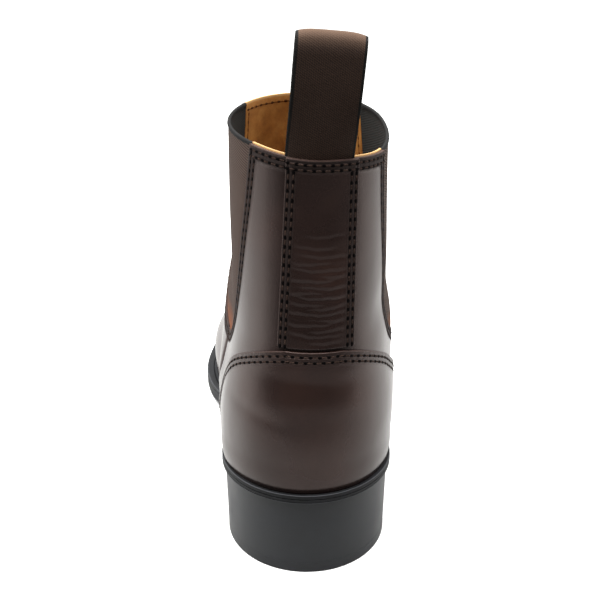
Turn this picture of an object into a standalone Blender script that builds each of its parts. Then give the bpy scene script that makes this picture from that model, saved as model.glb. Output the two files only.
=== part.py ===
"""A left ankle boot in brown leather with elastic side gores and a webbing pull loop.

Units are metres and +Z is up. +X runs from the heel to the toe and +Y is the outer side of the
foot. Stations along the boot are measured from the back edge of the sole. The empty "boot" then
moves every piece back, so that the middle of the heel's ground face lies on the origin.

The upper is drawn as a stack of levels, like the contour lines of a last. Each level is a closed
plan outline that starts at the back seam and runs round to the toe or instep. One function, skin(),
gives any point of that surface, raised or sunk by a chosen lift, and every leather or elastic panel
is cut from it.
"""

import math
from collections import namedtuple
from functools import lru_cache

import bmesh
import bpy
import numpy as np

MM = 0.001

# Driving dimensions
SOLE_LENGTH = 296 * MM
BALL_WIDTH = 109.5 * MM
HEEL_WIDTH = 75.2 * MM
HEEL_SEAT_HEIGHT = 35.7 * MM
COLLAR_BACK_HEIGHT = 176 * MM
COLLAR_FRONT_HEIGHT = 183 * MM
TOE_FEATHER_HEIGHT = 20.7 * MM
HEEL_REST_STATION = 36 * MM
WALL = 2.4 * MM
GAP = 0.3 * MM

# Stations where the plan of the foot is widest or narrowest, for the outer (+1) and inner (-1) side
HEEL_STATION = 50 * MM
WAIST_STATION = {1: 108 * MM, -1: 118 * MM}
BALL_STATION = {1: 203 * MM, -1: 207 * MM}
SWING_STATIONS = (10 * MM, 200 * MM)
TOE_SKEW = {1: 1.04, -1: 0.96}

# Underside and thickness of the rubber sole along the boot, in millimetres
SoleRow = namedtuple("SoleRow", "station bottom thickness")
SOLE_ROWS = (
    SoleRow(0, 33.4, 2.0),
    SoleRow(45, 32.6, 2.0),
    SoleRow(72, 29.2, 2.4),
    SoleRow(100, 21.4, 3.6),
    SoleRow(130, 11.2, 5.2),
    SoleRow(160, 2.7, 6.4),
    SoleRow(178, 0.0, 6.8),
    SoleRow(218, 0.0, 6.9),
    SoleRow(245, 3.0, 6.9),
    SoleRow(272, 8.8, 6.8),
    SoleRow(296, 15.3, 6.8),
)

# One row for each contour level of the upper, from the feather edge to the collar.
# rise_back and rise_front are shares of the way up to the collar, reach is a share of the sole's
# length, and heel, waist and ball are shares of half the heel's or the ball's width. inset, the
# two round columns and the two lean columns, which shift the level's middle line to the outer side
# at its back and at the forefoot, are millimetres. dip is how far a level follows the sole's curve.
LEVEL_COLUMNS = (
    "rise_back inset rise_front reach round_back round_front "
    "heel waist_out waist_in ball lean_back lean_front dip"
)
Level = namedtuple("Level", LEVEL_COLUMNS)
LEVELS = (
    Level(0.000, 6.0, 0.000, 0.976, 40.0, 88, 0.872, 0.838, 0.713, 0.870, -0.5, -1.8, 1.00),
    Level(0.062, 3.2, 0.050, 0.981, 41.0, 91, 0.930, 0.890, 0.798, 0.882, -0.5, -2.2, 1.00),
    Level(0.124, 1.6, 0.104, 0.971, 42.0, 97, 0.945, 0.920, 0.872, 0.888, -0.6, -2.7, 1.00),
    Level(0.185, 1.0, 0.155, 0.942, 43.0, 106, 0.949, 0.941, 0.931, 0.888, -0.7, -3.2, 0.95),
    Level(0.250, 1.2, 0.196, 0.888, 44.0, 118, 0.940, 0.957, 0.973, 0.880, -0.9, -3.6, 0.90),
    Level(0.316, 2.0, 0.237, 0.811, 45.0, 126, 0.919, 0.966, 1.000, 0.868, -1.3, -3.9, 0.80),
    Level(0.390, 3.0, 0.288, 0.720, 46.0, 126, 0.901, 0.970, 1.008, 0.850, -1.9, -3.9, 0.70),
    Level(0.460, 4.3, 0.354, 0.628, 47.5, 118, 0.893, 0.962, 0.995, 0.813, -2.5, -3.4, 0.55),
    Level(0.550, 5.8, 0.440, 0.547, 49.0, 104, 0.893, 0.945, 0.965, 0.749, -2.8, -2.2, 0.40),
    Level(0.645, 7.2, 0.545, 0.486, 50.5, 86, 0.901, 0.928, 0.936, 0.687, -3.2, -1.3, 0.25),
    Level(0.755, 8.6, 0.675, 0.446, 52.0, 70, 0.911, 0.920, 0.922, 0.647, -3.6, -0.2, 0.12),
    Level(0.870, 10.0, 0.828, 0.421, 53.5, 60, 0.916, 0.917, 0.917, 0.632, -4.1, 0.6, 0.05),
    Level(1.000, 11.0, 1.000, 0.404, 54.0, 54.5, 0.916, 0.916, 0.916, 0.628, -4.7, 1.2, 0.00),
)
COLLAR = len(LEVELS) - 1
RING_LEVELS = np.concatenate((np.linspace(0, 4, 9), np.linspace(4.6, COLLAR, 13)))
RING_SIDE_POINTS = 28

# The elastic gore, from its tip up to the collar: share of the rise, rear and front station in mm
GoreRow = namedtuple("GoreRow", "rise rear front")
GORE_ROWS = (
    GoreRow(0.00, 52.5, 58.0),
    GoreRow(0.02, 50.5, 62.0),
    GoreRow(0.06, 48.5, 67.0),
    GoreRow(0.13, 46.0, 73.5),
    GoreRow(0.27, 41.5, 83.0),
    GoreRow(0.49, 37.2, 91.0),
    GoreRow(0.75, 32.2, 95.5),
    GoreRow(1.00, 28.8, 98.0),
)
GORE_TIP_LEVEL = 5.98
GORE_SUNK = 0.8 * MM
GORE_THICKNESS = 1.4 * MM
GORE_EDGE_GAP = 0.45 * MM
GORE_COLUMNS = 8
GORE_SAMPLES = 13

# The heel counter, from the feather edge up to its top edge: level and forward station in mm
CounterRow = namedtuple("CounterRow", "level reach")
COUNTER_ROWS = (
    CounterRow(0.05, 75.0),
    CounterRow(1.7, 66.0),
    CounterRow(3.2, 56.0),
    CounterRow(4.6, 45.0),
    CounterRow(5.5, 33.5),
    CounterRow(6.0, 26.0),
    CounterRow(6.4, 18.5),
    CounterRow(6.7, 12.0),
    CounterRow(6.92, 6.5),
)
COUNTER_COLUMNS = 28
COUNTER_SAMPLES = 13
OVERLAY_THICKNESS = 1.3 * MM

# The strap down the back seam
BACKSTAY_LOW_EDGES = (-16.4 * MM, 14.6 * MM)
BACKSTAY_TOP_EDGES = (-15.4 * MM, 12.6 * MM)
BACKSTAY_LOW_LEVEL = 7.04
BACKSTAY_ROWS = 9
BACKSTAY_COLUMNS = 8

# The pull loop: a folded webbing strap, fore-and-aft offset and height above the collar in mm
LoopPoint = namedtuple("LoopPoint", "forward height")
LOOP_POINTS = (
    LoopPoint(1.2, 0.5),
    LoopPoint(2.4, 9.0),
    LoopPoint(4.2, 19.0),
    LoopPoint(5.5, 29.0),
    LoopPoint(5.6, 36.0),
    LoopPoint(3.6, 41.0),
    LoopPoint(0.2, 42.6),
    LoopPoint(-3.2, 40.8),
    LoopPoint(-4.8, 35.5),
    LoopPoint(-4.6, 28.0),
    LoopPoint(-3.6, 18.0),
    LoopPoint(-2.2, 8.5),
    LoopPoint(-1.2, 0.5),
)
LOOP_WIDTH = 26 * MM
LOOP_THICKNESS = 1.4 * MM
LOOP_SIDE_LEAN = -4.0 * MM
LOOP_ROLL = 1.1 * MM
LOOP_SAMPLES = 40

# The storm welt: share of the sole's overhang covered, and height above the sole in mm.
# The bead column is the height over the forefoot, and the flat column the one round the heel.
WeltPoint = namedtuple("WeltPoint", "cover_fore cover_heel bead flat")
WELT_SECTION = (
    WeltPoint(0.02, 0.00, 0.0, 0.0),
    WeltPoint(0.00, 0.00, 1.3, 1.3),
    WeltPoint(0.06, 0.06, 1.6, 1.6),
    WeltPoint(0.50, 0.24, 1.6, 1.6),
    WeltPoint(0.55, 0.28, 0.9, 1.4),
    WeltPoint(0.60, 0.32, 2.3, 1.4),
    WeltPoint(0.74, 0.36, 3.0, 1.4),
    WeltPoint(0.88, 0.40, 2.4, 1.4),
    WeltPoint(0.94, 0.42, 0.0, 0.0),
)
BEAD_FADE = (66 * MM, 104 * MM)
BEAD_LEVEL = 0.4

# The heel block and the top lift under it
HEEL_BREAST_STATION = 74 * MM
HEEL_BLOCK_INSET = 1.5 * MM
HEEL_BASE_INSET = 2.4 * MM
HEEL_BASE_BACK = 1.2 * MM
TOP_LIFT_HEIGHT = 4.2 * MM
EDGE_ROUND = 0.6 * MM
HEEL_SIDE_POINTS = 16
SOLE_SIDE_POINTS = 30
INSOLE_THICKNESS = 3.2 * MM
INSOLE_EDGE_GAP = 0.6 * MM

COLOURS = {
    "brown_leather": (0.042, 0.020, 0.016, 0.34, 0.0),
    "brown_elastic": (0.060, 0.036, 0.028, 0.85, 0.0),
    "brown_webbing": (0.030, 0.018, 0.014, 0.80, 0.0),
    "black_rubber": (0.012, 0.012, 0.013, 0.55, 0.0),
    "tan_lining": (0.500, 0.230, 0.070, 0.70, 0.0),
}


def monotone_curve(stations, values, x):
    """Value at x of a smooth curve through the points, with no overshoot between them."""
    stations = np.asarray(stations, float)
    values = np.asarray(values, float)
    x = min(max(x, stations[0]), stations[-1])
    i = min(int(np.searchsorted(stations, x, side="right")) - 1, len(stations) - 2)
    steps = np.diff(stations)
    slopes = np.diff(values) / steps

    def tangent(k):
        if k == 0:
            return slopes[0]
        if k == len(stations) - 1:
            return slopes[-1]
        before, after = slopes[k - 1], slopes[k]
        return 0.0 if before * after <= 0 else 2 * before * after / (before + after)

    u = (x - stations[i]) / steps[i]
    low = values[i] * (1 + 2 * u) * (1 - u) ** 2 + steps[i] * tangent(i) * u * (1 - u) ** 2
    high = values[i + 1] * u * u * (3 - 2 * u) - steps[i] * tangent(i + 1) * u * u * (1 - u)
    return low + high


# The sole's lines along the boot

SOLE_STATIONS = [row.station * MM for row in SOLE_ROWS]
SOLE_BOTTOMS = [row.bottom * MM for row in SOLE_ROWS]
SOLE_TOPS = [(row.bottom + row.thickness) * MM for row in SOLE_ROWS]


@lru_cache(maxsize=None)
def sole_bottom(x):
    return monotone_curve(SOLE_STATIONS, SOLE_BOTTOMS, x)


@lru_cache(maxsize=None)
def sole_top(x):
    return monotone_curve(SOLE_STATIONS, SOLE_TOPS, x)


# Plan outlines, shared by the upper's levels, the sole, the welt, the insole and the heel

PLAN_COLUMNS = (
    "back front round_back round_front heel waist_out waist_in ball lean_back lean_front"
)
Plan = namedtuple("Plan", PLAN_COLUMNS)

SOLE_PLAN = Plan(
    back=0.0,
    front=SOLE_LENGTH,
    round_back=44 * MM,
    round_front=91 * MM,
    heel=HEEL_WIDTH / 2,
    waist_out=36.0 * MM,
    waist_in=31.0 * MM,
    ball=BALL_WIDTH / 2,
    lean_back=-0.5 * MM,
    lean_front=-1.3 * MM,
)


def inset_plan(plan, distance):
    """The plan drawn in by a distance on every side."""
    return Plan(
        back=plan.back + distance,
        front=plan.front - distance,
        round_back=plan.round_back - distance,
        round_front=plan.round_front - distance,
        heel=plan.heel - distance,
        waist_out=plan.waist_out - distance,
        waist_in=plan.waist_in - distance,
        ball=plan.ball - distance,
        lean_back=plan.lean_back,
        lean_front=plan.lean_front,
    )


def half_width(plan, x, side):
    """Half width of a plan at a station, on the outer (+1) or inner (-1) side."""
    waist = plan.waist_out if side > 0 else plan.waist_in
    stations = (0.0, HEEL_STATION, WAIST_STATION[side], BALL_STATION[side], SOLE_LENGTH)
    full = monotone_curve(stations, (plan.heel, plan.heel, waist, plan.ball, plan.ball), x)
    back = max(0.0, 1 - (x - plan.back) / plan.round_back)
    front = max(0.0, 1 - (plan.front - x) / (plan.round_front * TOE_SKEW[side]))
    return full * math.sqrt(max(0.0, 1 - back**2 - front**2))


def edge_point(plan, x, side):
    """Plan coordinates of the outline at a station, on the outer (+1) or inner (-1) side."""
    start, end = SWING_STATIONS
    share = min(1.0, max(0.0, (x - start) / (end - start)))
    middle = plan.lean_back + (plan.lean_front - plan.lean_back) * share * (2 - share)
    return x, middle + side * half_width(plan, x, side)


def station_of(plan, s):
    """Station of the place s round a plan: 0 at the back seam, 1 or -1 at the front."""
    return plan.back + (plan.front - plan.back) * (1 - math.cos(math.pi * abs(s))) / 2


def place_at_station(plan, x):
    """The place s, on the outer side, of a station."""
    share = (x - plan.back) / (plan.front - plan.back)
    return math.acos(min(1.0, max(-1.0, 1 - 2 * share))) / math.pi


# The upper's surface


@lru_cache(maxsize=None)
def level_at(t):
    """The contour level at t, read from a smooth curve down each column of the table."""
    index = range(len(LEVELS))
    return Level(*(monotone_curve(index, column, t) for column in zip(*LEVELS)))


@lru_cache(maxsize=None)
def level_plan(t):
    level = level_at(t)
    return Plan(
        back=level.inset * MM,
        front=level.reach * SOLE_LENGTH,
        round_back=level.round_back * MM,
        round_front=level.round_front * MM,
        heel=level.heel * HEEL_WIDTH / 2,
        waist_out=level.waist_out * HEEL_WIDTH / 2,
        waist_in=level.waist_in * HEEL_WIDTH / 2,
        ball=level.ball * BALL_WIDTH / 2,
        lean_back=level.lean_back * MM,
        lean_front=level.lean_front * MM,
    )


def level_height(t, x):
    """Height of a level at a station: between a straight line and the sole's own curve."""
    level = level_at(t)
    plan = level_plan(t)
    z_back = HEEL_SEAT_HEIGHT + level.rise_back * (COLLAR_BACK_HEIGHT - HEEL_SEAT_HEIGHT)
    z_front = TOE_FEATHER_HEIGHT + level.rise_front * (COLLAR_FRONT_HEIGHT - TOE_FEATHER_HEIGHT)
    share = (x - plan.back) / (plan.front - plan.back)
    straight = z_back + (z_front - z_back) * share
    over_back = z_back - sole_top(plan.back) - GAP
    over_front = z_front - sole_top(plan.front) - GAP
    curved = sole_top(x) + GAP + over_back + (over_front - over_back) * share
    return straight + (curved - straight) * level.dip


@lru_cache(maxsize=None)
def level_point(t, s):
    plan = level_plan(t)
    side = 1 if s >= 0 else -1
    x = station_of(plan, s)
    return np.array((*edge_point(plan, x, side), level_height(t, x)))


def skin(t, s, lift=0.0):
    """A point of the upper's outer face at level t and place s, moved out along the normal."""
    point = level_point(t, s)
    if lift == 0.0:
        return point
    step = 0.004
    ahead = s + step if s + step <= 1 else s + step - 2
    behind = s - step if s - step >= -1 else s - step + 2
    low, high = max(0.0, t - 0.02), min(float(COLLAR), t + 0.02)
    along = level_point(t, ahead) - level_point(t, behind)
    upward = level_point(high, s) - level_point(low, s)
    normal = np.cross(upward, along)
    if t <= 0 or t >= COLLAR:
        normal[2] = 0.0
    return point + normal * (lift / np.linalg.norm(normal))


def place_at_girth(t, girth):
    """The place s that lies a tape-measured distance round from the back seam."""
    samples = np.linspace(0, 0.5, 161)
    side = 1 if girth >= 0 else -1
    points = np.array([level_point(t, side * s) for s in samples])
    tape = np.concatenate(((0,), np.cumsum(np.linalg.norm(np.diff(points, axis=0), axis=1))))
    return side * float(np.interp(abs(girth), tape, samples))


# Building meshes


def material(name):
    red, green, blue, roughness, metallic = COLOURS[name]
    made = bpy.data.materials.get(name) or bpy.data.materials.new(name)
    made.use_nodes = True
    shader = made.node_tree.nodes["Principled BSDF"]
    shader.inputs["Base Color"].default_value = (red, green, blue, 1)
    shader.inputs["Roughness"].default_value = roughness
    shader.inputs["Metallic"].default_value = metallic
    made.diffuse_color = (red, green, blue, 1)
    return made


def add_object(name, points, faces, finish, boot):
    """A named mesh object under the boot's empty, with its faces turned outwards."""
    mesh = bpy.data.meshes.new(name)
    mesh.from_pydata([tuple(map(float, p)) for p in points], [], faces)
    shaper = bmesh.new()
    shaper.from_mesh(mesh)
    bmesh.ops.recalc_face_normals(shaper, faces=shaper.faces)
    shaper.to_mesh(mesh)
    shaper.free()
    mesh.shade_smooth()
    mesh.set_sharp_from_angle(angle=math.radians(40))
    mesh.materials.append(material(finish))
    made = bpy.data.objects.new(name, mesh)
    bpy.context.scene.collection.objects.link(made)
    made.parent = boot
    return made


def bridge(faces, first, second, count, closed):
    """Adds the quads between two rows of points, given the index where each row starts."""
    for i in range(count if closed else count - 1):
        j = (i + 1) % count
        faces.append((first + i, first + j, second + j, second + i))


def ladder(faces, start, count):
    """Closes a ring of points with rungs from its outer to its inner side.

    The ring starts at the back seam, so points 1 and count - 1 lie opposite each other."""
    near, far = 1, count - 1
    faces.append((start, start + near, start + far))
    while far - near > 2:
        faces.append((start + near, start + near + 1, start + far - 1, start + far))
        near, far = near + 1, far - 1
    if far - near == 2:
        faces.append((start + near, start + near + 1, start + far))


def plan_ring(plan, height, side_points, last_station=None):
    """The points round a plan, at the heights that a function of the station gives.

    With a last station the plan is cut straight across there, as at a heel's breast."""
    end = 1.0 if last_station is None else place_at_station(plan, last_station)
    places = [end * i / side_points for i in range(side_points + 1)]
    inner = places[1:-1] if last_station is None else places[1:]
    ring = []
    for s, side in [(s, 1) for s in places] + [(s, -1) for s in reversed(inner)]:
        x = station_of(plan, s)
        ring.append((*edge_point(plan, x, side), height(x)))
    return ring


def stack(rings):
    """Points and faces of a solid through rings of equal count, closed at both ends."""
    count = len(rings[0])
    points = [p for ring in rings for p in ring]
    faces = []
    ladder(faces, 0, count)
    for k in range(len(rings) - 1):
        bridge(faces, k * count, (k + 1) * count, count, closed=True)
    ladder(faces, (len(rings) - 1) * count, count)
    return points, faces


def panel(rows, low_lift, high_lift, raise_top=0.0):
    """Points and faces of a panel of the upper between two lifts.

    rows holds one list of (level, place) for each row of the panel, from its lower edge up.
    raise_top adds a copy of the last row that far above it, past the collar."""
    if raise_top > 0:
        rows = rows + rows[-1:]
    width = len(rows[0])
    points = []
    for lift in (low_lift, high_lift):
        for k, row in enumerate(rows):
            extra = raise_top if k == len(rows) - 1 else 0.0
            points += [skin(t, s, lift) + np.array((0, 0, extra)) for t, s in row]
    layer = width * len(rows)
    faces = []
    for start in (0, layer):
        for k in range(len(rows) - 1):
            bridge(faces, start + k * width, start + (k + 1) * width, width, closed=False)
    border = list(range(width))
    border += [k * width + width - 1 for k in range(1, len(rows))]
    border += [layer - 2 - i for i in range(width - 1)]
    border += [k * width for k in range(len(rows) - 2, 0, -1)]
    for i, a in enumerate(border):
        b = border[(i + 1) % len(border)]
        faces.append((a, b, b + layer, a + layer))
    return points, faces


# The pieces


def gore_rows(side, shrink):
    """Levels and places of a gore, drawn in by a distance along its edges."""
    rows = []
    rises = [row.rise for row in GORE_ROWS]
    lowest = GORE_TIP_LEVEL + (0.08 if shrink > 0 else 0.0)
    highest = COLLAR - (0.0 if shrink > 0 else 0.05)
    for u in np.linspace(0, 1, GORE_SAMPLES + 1):
        rise = u * u
        rear = monotone_curve(rises, [row.rear * MM for row in GORE_ROWS], rise) + shrink
        front = monotone_curve(rises, [row.front * MM for row in GORE_ROWS], rise) - shrink
        t = lowest + rise * (highest - lowest)
        plan = level_plan(t)
        stations = np.linspace(rear, front, GORE_COLUMNS + 1)
        rows.append([(t, side * place_at_station(plan, x)) for x in stations])
    return rows


def build_upper(boot):
    """The leather upper: one hollow wall from the feather edge to the collar, cut for the gores."""
    places = [i / RING_SIDE_POINTS for i in range(-RING_SIDE_POINTS, RING_SIDE_POINTS)]
    count = len(places)
    points = [skin(float(t), s, -lift) for lift in (0.0, WALL) for t in RING_LEVELS for s in places]
    layer = count * len(RING_LEVELS)
    faces = []
    for start in (0, layer):
        for k in range(len(RING_LEVELS) - 1):
            bridge(faces, start + k * count, start + (k + 1) * count, count, closed=True)
    bridge(faces, 0, layer, count, closed=True)
    bridge(faces, layer - count, 2 * layer - count, count, closed=True)
    upper = add_object("upper", points, faces, "brown_leather", boot)
    upper.modifiers.new("flat_facets", "TRIANGULATE")
    for side, name in ((1, "gore_cutter_lateral"), (-1, "gore_cutter_medial")):
        reach = 1 * MM
        cutter_points, cutter_faces = panel(gore_rows(side, 0.0), -WALL - reach, reach, 5 * reach)
        cutter = add_object(name, cutter_points, cutter_faces, "brown_leather", boot)
        cutter.hide_render = True
        cutter.display_type = "WIRE"
        cutter.modifiers.new("flat_facets", "TRIANGULATE")
        cut = upper.modifiers.new(name, "BOOLEAN")
        cut.operation = "DIFFERENCE"
        cut.object = cutter


def build_gore(name, side, boot):
    """An elastic gusset, set a little under the leather's face inside its cut-out."""
    rows = gore_rows(side, GORE_EDGE_GAP)
    points, faces = panel(rows, -GORE_SUNK - GORE_THICKNESS, -GORE_SUNK)
    add_object(name, points, faces, "brown_elastic", boot)


def build_counter(boot):
    """The heel counter: a leather panel laid over the back of the upper."""
    rows = []
    levels = [row.level for row in COUNTER_ROWS]
    reaches = [row.reach * MM for row in COUNTER_ROWS]
    for u in np.linspace(0, math.pi / 2, COUNTER_SAMPLES + 1):
        t = levels[0] + (levels[-1] - levels[0]) * math.sin(u)
        end = place_at_station(level_plan(t), monotone_curve(levels, reaches, t))
        rows.append([(t, end * share) for share in np.linspace(-1, 1, COUNTER_COLUMNS + 1)])
    points, faces = panel(rows, GAP, GAP + OVERLAY_THICKNESS)
    add_object("counter", points, faces, "brown_leather", boot)


def build_backstay(boot):
    """The strap over the back seam, from the counter's top edge to the collar."""
    rows = []
    for share in np.linspace(0, 1, BACKSTAY_ROWS + 1):
        t = BACKSTAY_LOW_LEVEL + (COLLAR - BACKSTAY_LOW_LEVEL) * float(share)
        edges = [low + (top - low) * share for low, top in zip(BACKSTAY_LOW_EDGES, BACKSTAY_TOP_EDGES)]
        girths = np.linspace(*edges, BACKSTAY_COLUMNS + 1)
        rows.append([(t, place_at_girth(t, girth)) for girth in girths])
    points, faces = panel(rows, GAP, GAP + OVERLAY_THICKNESS)
    add_object("backstay", points, faces, "brown_leather", boot)


def build_pull_loop(boot):
    """Webbing folded into a loop, standing on the collar over the back seam."""
    seam = skin(float(COLLAR), 0.0, -WALL / 2)
    shares = np.linspace(0, len(LOOP_POINTS) - 1, LOOP_SAMPLES + 1)
    index = range(len(LOOP_POINTS))
    forward = [monotone_curve(index, [p.forward * MM for p in LOOP_POINTS], u) for u in shares]
    height = [monotone_curve(index, [p.height * MM for p in LOOP_POINTS], u) for u in shares]
    centre = np.column_stack((forward, height))
    run = np.gradient(centre, axis=0)
    run /= np.linalg.norm(run, axis=1)[:, None]
    run[0], run[-1] = (0.0, 1.0), (0.0, -1.0)
    across = np.column_stack((run[:, 1], -run[:, 0])) * LOOP_THICKNESS / 2
    top = max(height)
    points = []
    for middle, half in zip(centre, across):
        lean = LOOP_SIDE_LEAN * middle[1] / top
        roll = LOOP_ROLL * middle[1] / top
        for side in (-1, 1):
            for place in (middle + half, middle - half):
                y = side * LOOP_WIDTH / 2 + lean
                points.append(seam + np.array((place[0], y, place[1] + side * roll)))
    faces = [(0, 1, 3, 2)]
    for k in range(LOOP_SAMPLES):
        a, b = 4 * k, 4 * k + 4
        for i, j in ((0, 1), (1, 3), (3, 2), (2, 0)):
            faces.append((a + i, a + j, b + j, b + i))
    last = 4 * LOOP_SAMPLES
    faces.append((last, last + 1, last + 3, last + 2))
    add_object("pull_loop", points, faces, "brown_webbing", boot)


def build_outsole(boot):
    """The rubber sole from toe to heel seat, with its lower edge rounded off."""
    edge = inset_plan(SOLE_PLAN, EDGE_ROUND)
    rings = [
        plan_ring(edge, sole_bottom, SOLE_SIDE_POINTS),
        plan_ring(SOLE_PLAN, lambda x: sole_bottom(x) + EDGE_ROUND, SOLE_SIDE_POINTS),
        plan_ring(SOLE_PLAN, sole_top, SOLE_SIDE_POINTS),
    ]
    add_object("outsole", *stack(rings), "black_rubber", boot)


def build_welt(boot):
    """The storm welt: a flat rim round the sole, with a bead against the upper at the forefoot."""
    outer = plan_ring(SOLE_PLAN, sole_top, SOLE_SIDE_POINTS)
    inner = plan_ring(level_plan(BEAD_LEVEL), sole_top, SOLE_SIDE_POINTS)
    rings = []
    for place in WELT_SECTION:
        ring = []
        for out, near in zip(outer, inner):
            fore = min(1.0, max(0.0, (out[0] - BEAD_FADE[0]) / (BEAD_FADE[1] - BEAD_FADE[0])))
            fore = fore * fore * (3 - 2 * fore)
            cover = place.cover_heel + (place.cover_fore - place.cover_heel) * fore
            rise = place.flat + (place.bead - place.flat) * fore
            x, y = (o + (n - o) * cover for o, n in zip(out[:2], near[:2]))
            ring.append((x, y, sole_top(x) + GAP + rise * MM))
        rings.append(ring)
    count = len(outer)
    points = [p for ring in rings for p in ring]
    faces = []
    for k in range(len(rings)):
        bridge(faces, k * count, (k + 1) % len(rings) * count, count, closed=True)
    add_object("storm_welt", points, faces, "black_rubber", boot)


def build_heel(boot):
    """The heel block under the seat, and the top lift that meets the floor."""
    top_plan = inset_plan(SOLE_PLAN, HEEL_BLOCK_INSET)
    base_plan = inset_plan(SOLE_PLAN, HEEL_BASE_INSET)._replace(back=HEEL_BASE_BACK)
    ground_plan = inset_plan(base_plan, EDGE_ROUND)
    breast = HEEL_BREAST_STATION
    block = [
        plan_ring(base_plan, lambda x: TOP_LIFT_HEIGHT + GAP, HEEL_SIDE_POINTS, breast),
        plan_ring(top_plan, lambda x: sole_bottom(x) - GAP, HEEL_SIDE_POINTS, breast),
    ]
    add_object("heel_block", *stack(block), "black_rubber", boot)
    lift = [
        plan_ring(ground_plan, lambda x: 0.0, HEEL_SIDE_POINTS, breast - EDGE_ROUND),
        plan_ring(base_plan, lambda x: EDGE_ROUND, HEEL_SIDE_POINTS, breast),
        plan_ring(base_plan, lambda x: TOP_LIFT_HEIGHT, HEEL_SIDE_POINTS, breast),
    ]
    add_object("top_lift", *stack(lift), "black_rubber", boot)


def build_insole(boot):
    """The insole, lying on the sole inside the upper's wall."""
    plan = inset_plan(level_plan(0.0), WALL + INSOLE_EDGE_GAP)
    rings = [
        plan_ring(plan, lambda x: sole_top(x) + GAP, SOLE_SIDE_POINTS),
        plan_ring(plan, lambda x: sole_top(x) + GAP + INSOLE_THICKNESS, SOLE_SIDE_POINTS),
    ]
    add_object("insole", *stack(rings), "tan_lining", boot)


def main():
    for old in list(bpy.data.objects):
        bpy.data.objects.remove(old)
    boot = bpy.data.objects.new("boot", None)
    bpy.context.scene.collection.objects.link(boot)
    boot.location.x = -HEEL_REST_STATION
    build_outsole(boot)
    build_welt(boot)
    build_heel(boot)
    build_insole(boot)
    build_upper(boot)
    build_gore("gore_lateral", 1, boot)
    build_gore("gore_medial", -1, boot)
    build_counter(boot)
    build_backstay(boot)
    build_pull_loop(boot)


main()
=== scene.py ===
"""A left ankle boot in polished brown leather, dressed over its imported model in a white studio.

Lengths in the tables are millimetres. Stations run along the boot from the back edge of the sole,
as in the part's source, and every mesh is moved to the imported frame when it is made.
"""

import math
from collections import namedtuple

import bpy
import numpy as np
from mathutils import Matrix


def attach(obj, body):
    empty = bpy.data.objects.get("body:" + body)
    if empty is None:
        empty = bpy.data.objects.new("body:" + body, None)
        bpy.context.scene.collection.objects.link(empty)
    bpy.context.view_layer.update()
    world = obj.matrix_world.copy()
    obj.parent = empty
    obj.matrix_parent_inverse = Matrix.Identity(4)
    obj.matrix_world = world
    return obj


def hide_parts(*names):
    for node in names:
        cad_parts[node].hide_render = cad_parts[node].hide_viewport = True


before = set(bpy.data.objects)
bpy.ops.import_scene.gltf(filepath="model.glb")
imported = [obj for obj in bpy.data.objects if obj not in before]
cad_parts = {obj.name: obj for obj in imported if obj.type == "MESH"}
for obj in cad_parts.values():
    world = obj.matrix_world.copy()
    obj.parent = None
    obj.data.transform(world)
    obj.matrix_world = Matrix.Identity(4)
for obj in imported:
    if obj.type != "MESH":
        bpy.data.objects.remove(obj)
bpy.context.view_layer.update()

# Outsole
# The black rubber sole is moulded in one piece from the toe to the heel seat, with an arch under
# the waist and a lifted toe. Its side is smooth, with one thin line cut in near the ground.
MM = 0.001
HEEL_REST_STATION = 36.0
SOLE_LENGTH = 296.0
BALL_WIDTH = 109.5
HEEL_WIDTH = 75.2
HEEL_STATION = 50.0
WAIST_STATIONS = (108.0, 118.0)
BALL_STATIONS = (203.0, 207.0)
TOE_SKEWS = (1.04, 0.96)
SWING_STATIONS = (10.0, 200.0)
PIECE_GAP = 0.3
SoleRow = namedtuple("SoleRow", "station bottom thickness")
SOLE_ROWS = (
    SoleRow(0, 33.4, 2.0),
    SoleRow(45, 32.6, 2.0),
    SoleRow(72, 29.2, 2.4),
    SoleRow(100, 21.4, 3.6),
    SoleRow(130, 11.2, 5.2),
    SoleRow(160, 2.7, 6.4),
    SoleRow(178, 0.0, 6.8),
    SoleRow(218, 0.0, 6.9),
    SoleRow(245, 3.0, 6.9),
    SoleRow(272, 8.8, 6.8),
    SoleRow(296, 15.3, 6.8),
)
Plan = namedtuple(
    "Plan", "back front round_back round_front heel waist_out waist_in ball lean_back lean_front"
)
SOLE_PLAN = Plan(0.0, SOLE_LENGTH, 44, 91, HEEL_WIDTH / 2, 36, 31, BALL_WIDTH / 2, -0.5, -1.3)
SideStep = namedtuple("SideStep", "inset share")
SOLE_SIDE = (
    SideStep(14.0, 0.0),
    SideStep(1.2, 0.0),
    SideStep(0.35, 0.05),
    SideStep(0.0, 0.16),
    SideStep(0.0, 0.30),
    SideStep(0.35, 0.33),
    SideStep(0.35, 0.37),
    SideStep(0.0, 0.40),
    SideStep(0.0, 0.92),
    SideStep(0.25, 0.98),
    SideStep(1.0, 1.0),
)
ROUND_PLACES = np.linspace(1, -1, 241)
JOIN_DISTANCE = 0.002
SMOOTH_ANGLE = 38
EDGE_BLACK = "#111214"
EDGE_GREY = "#1e1f22"
RUBBER_PAINTED_GLINT = "#515256"
GLINT_BELOW_SHARE = 0.2
MOULD_GRAIN = 0.5
MOULD_DEPTH = 0.1
DUST_PATCH = 18.0
DUST_DULLS = 0.05


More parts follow.
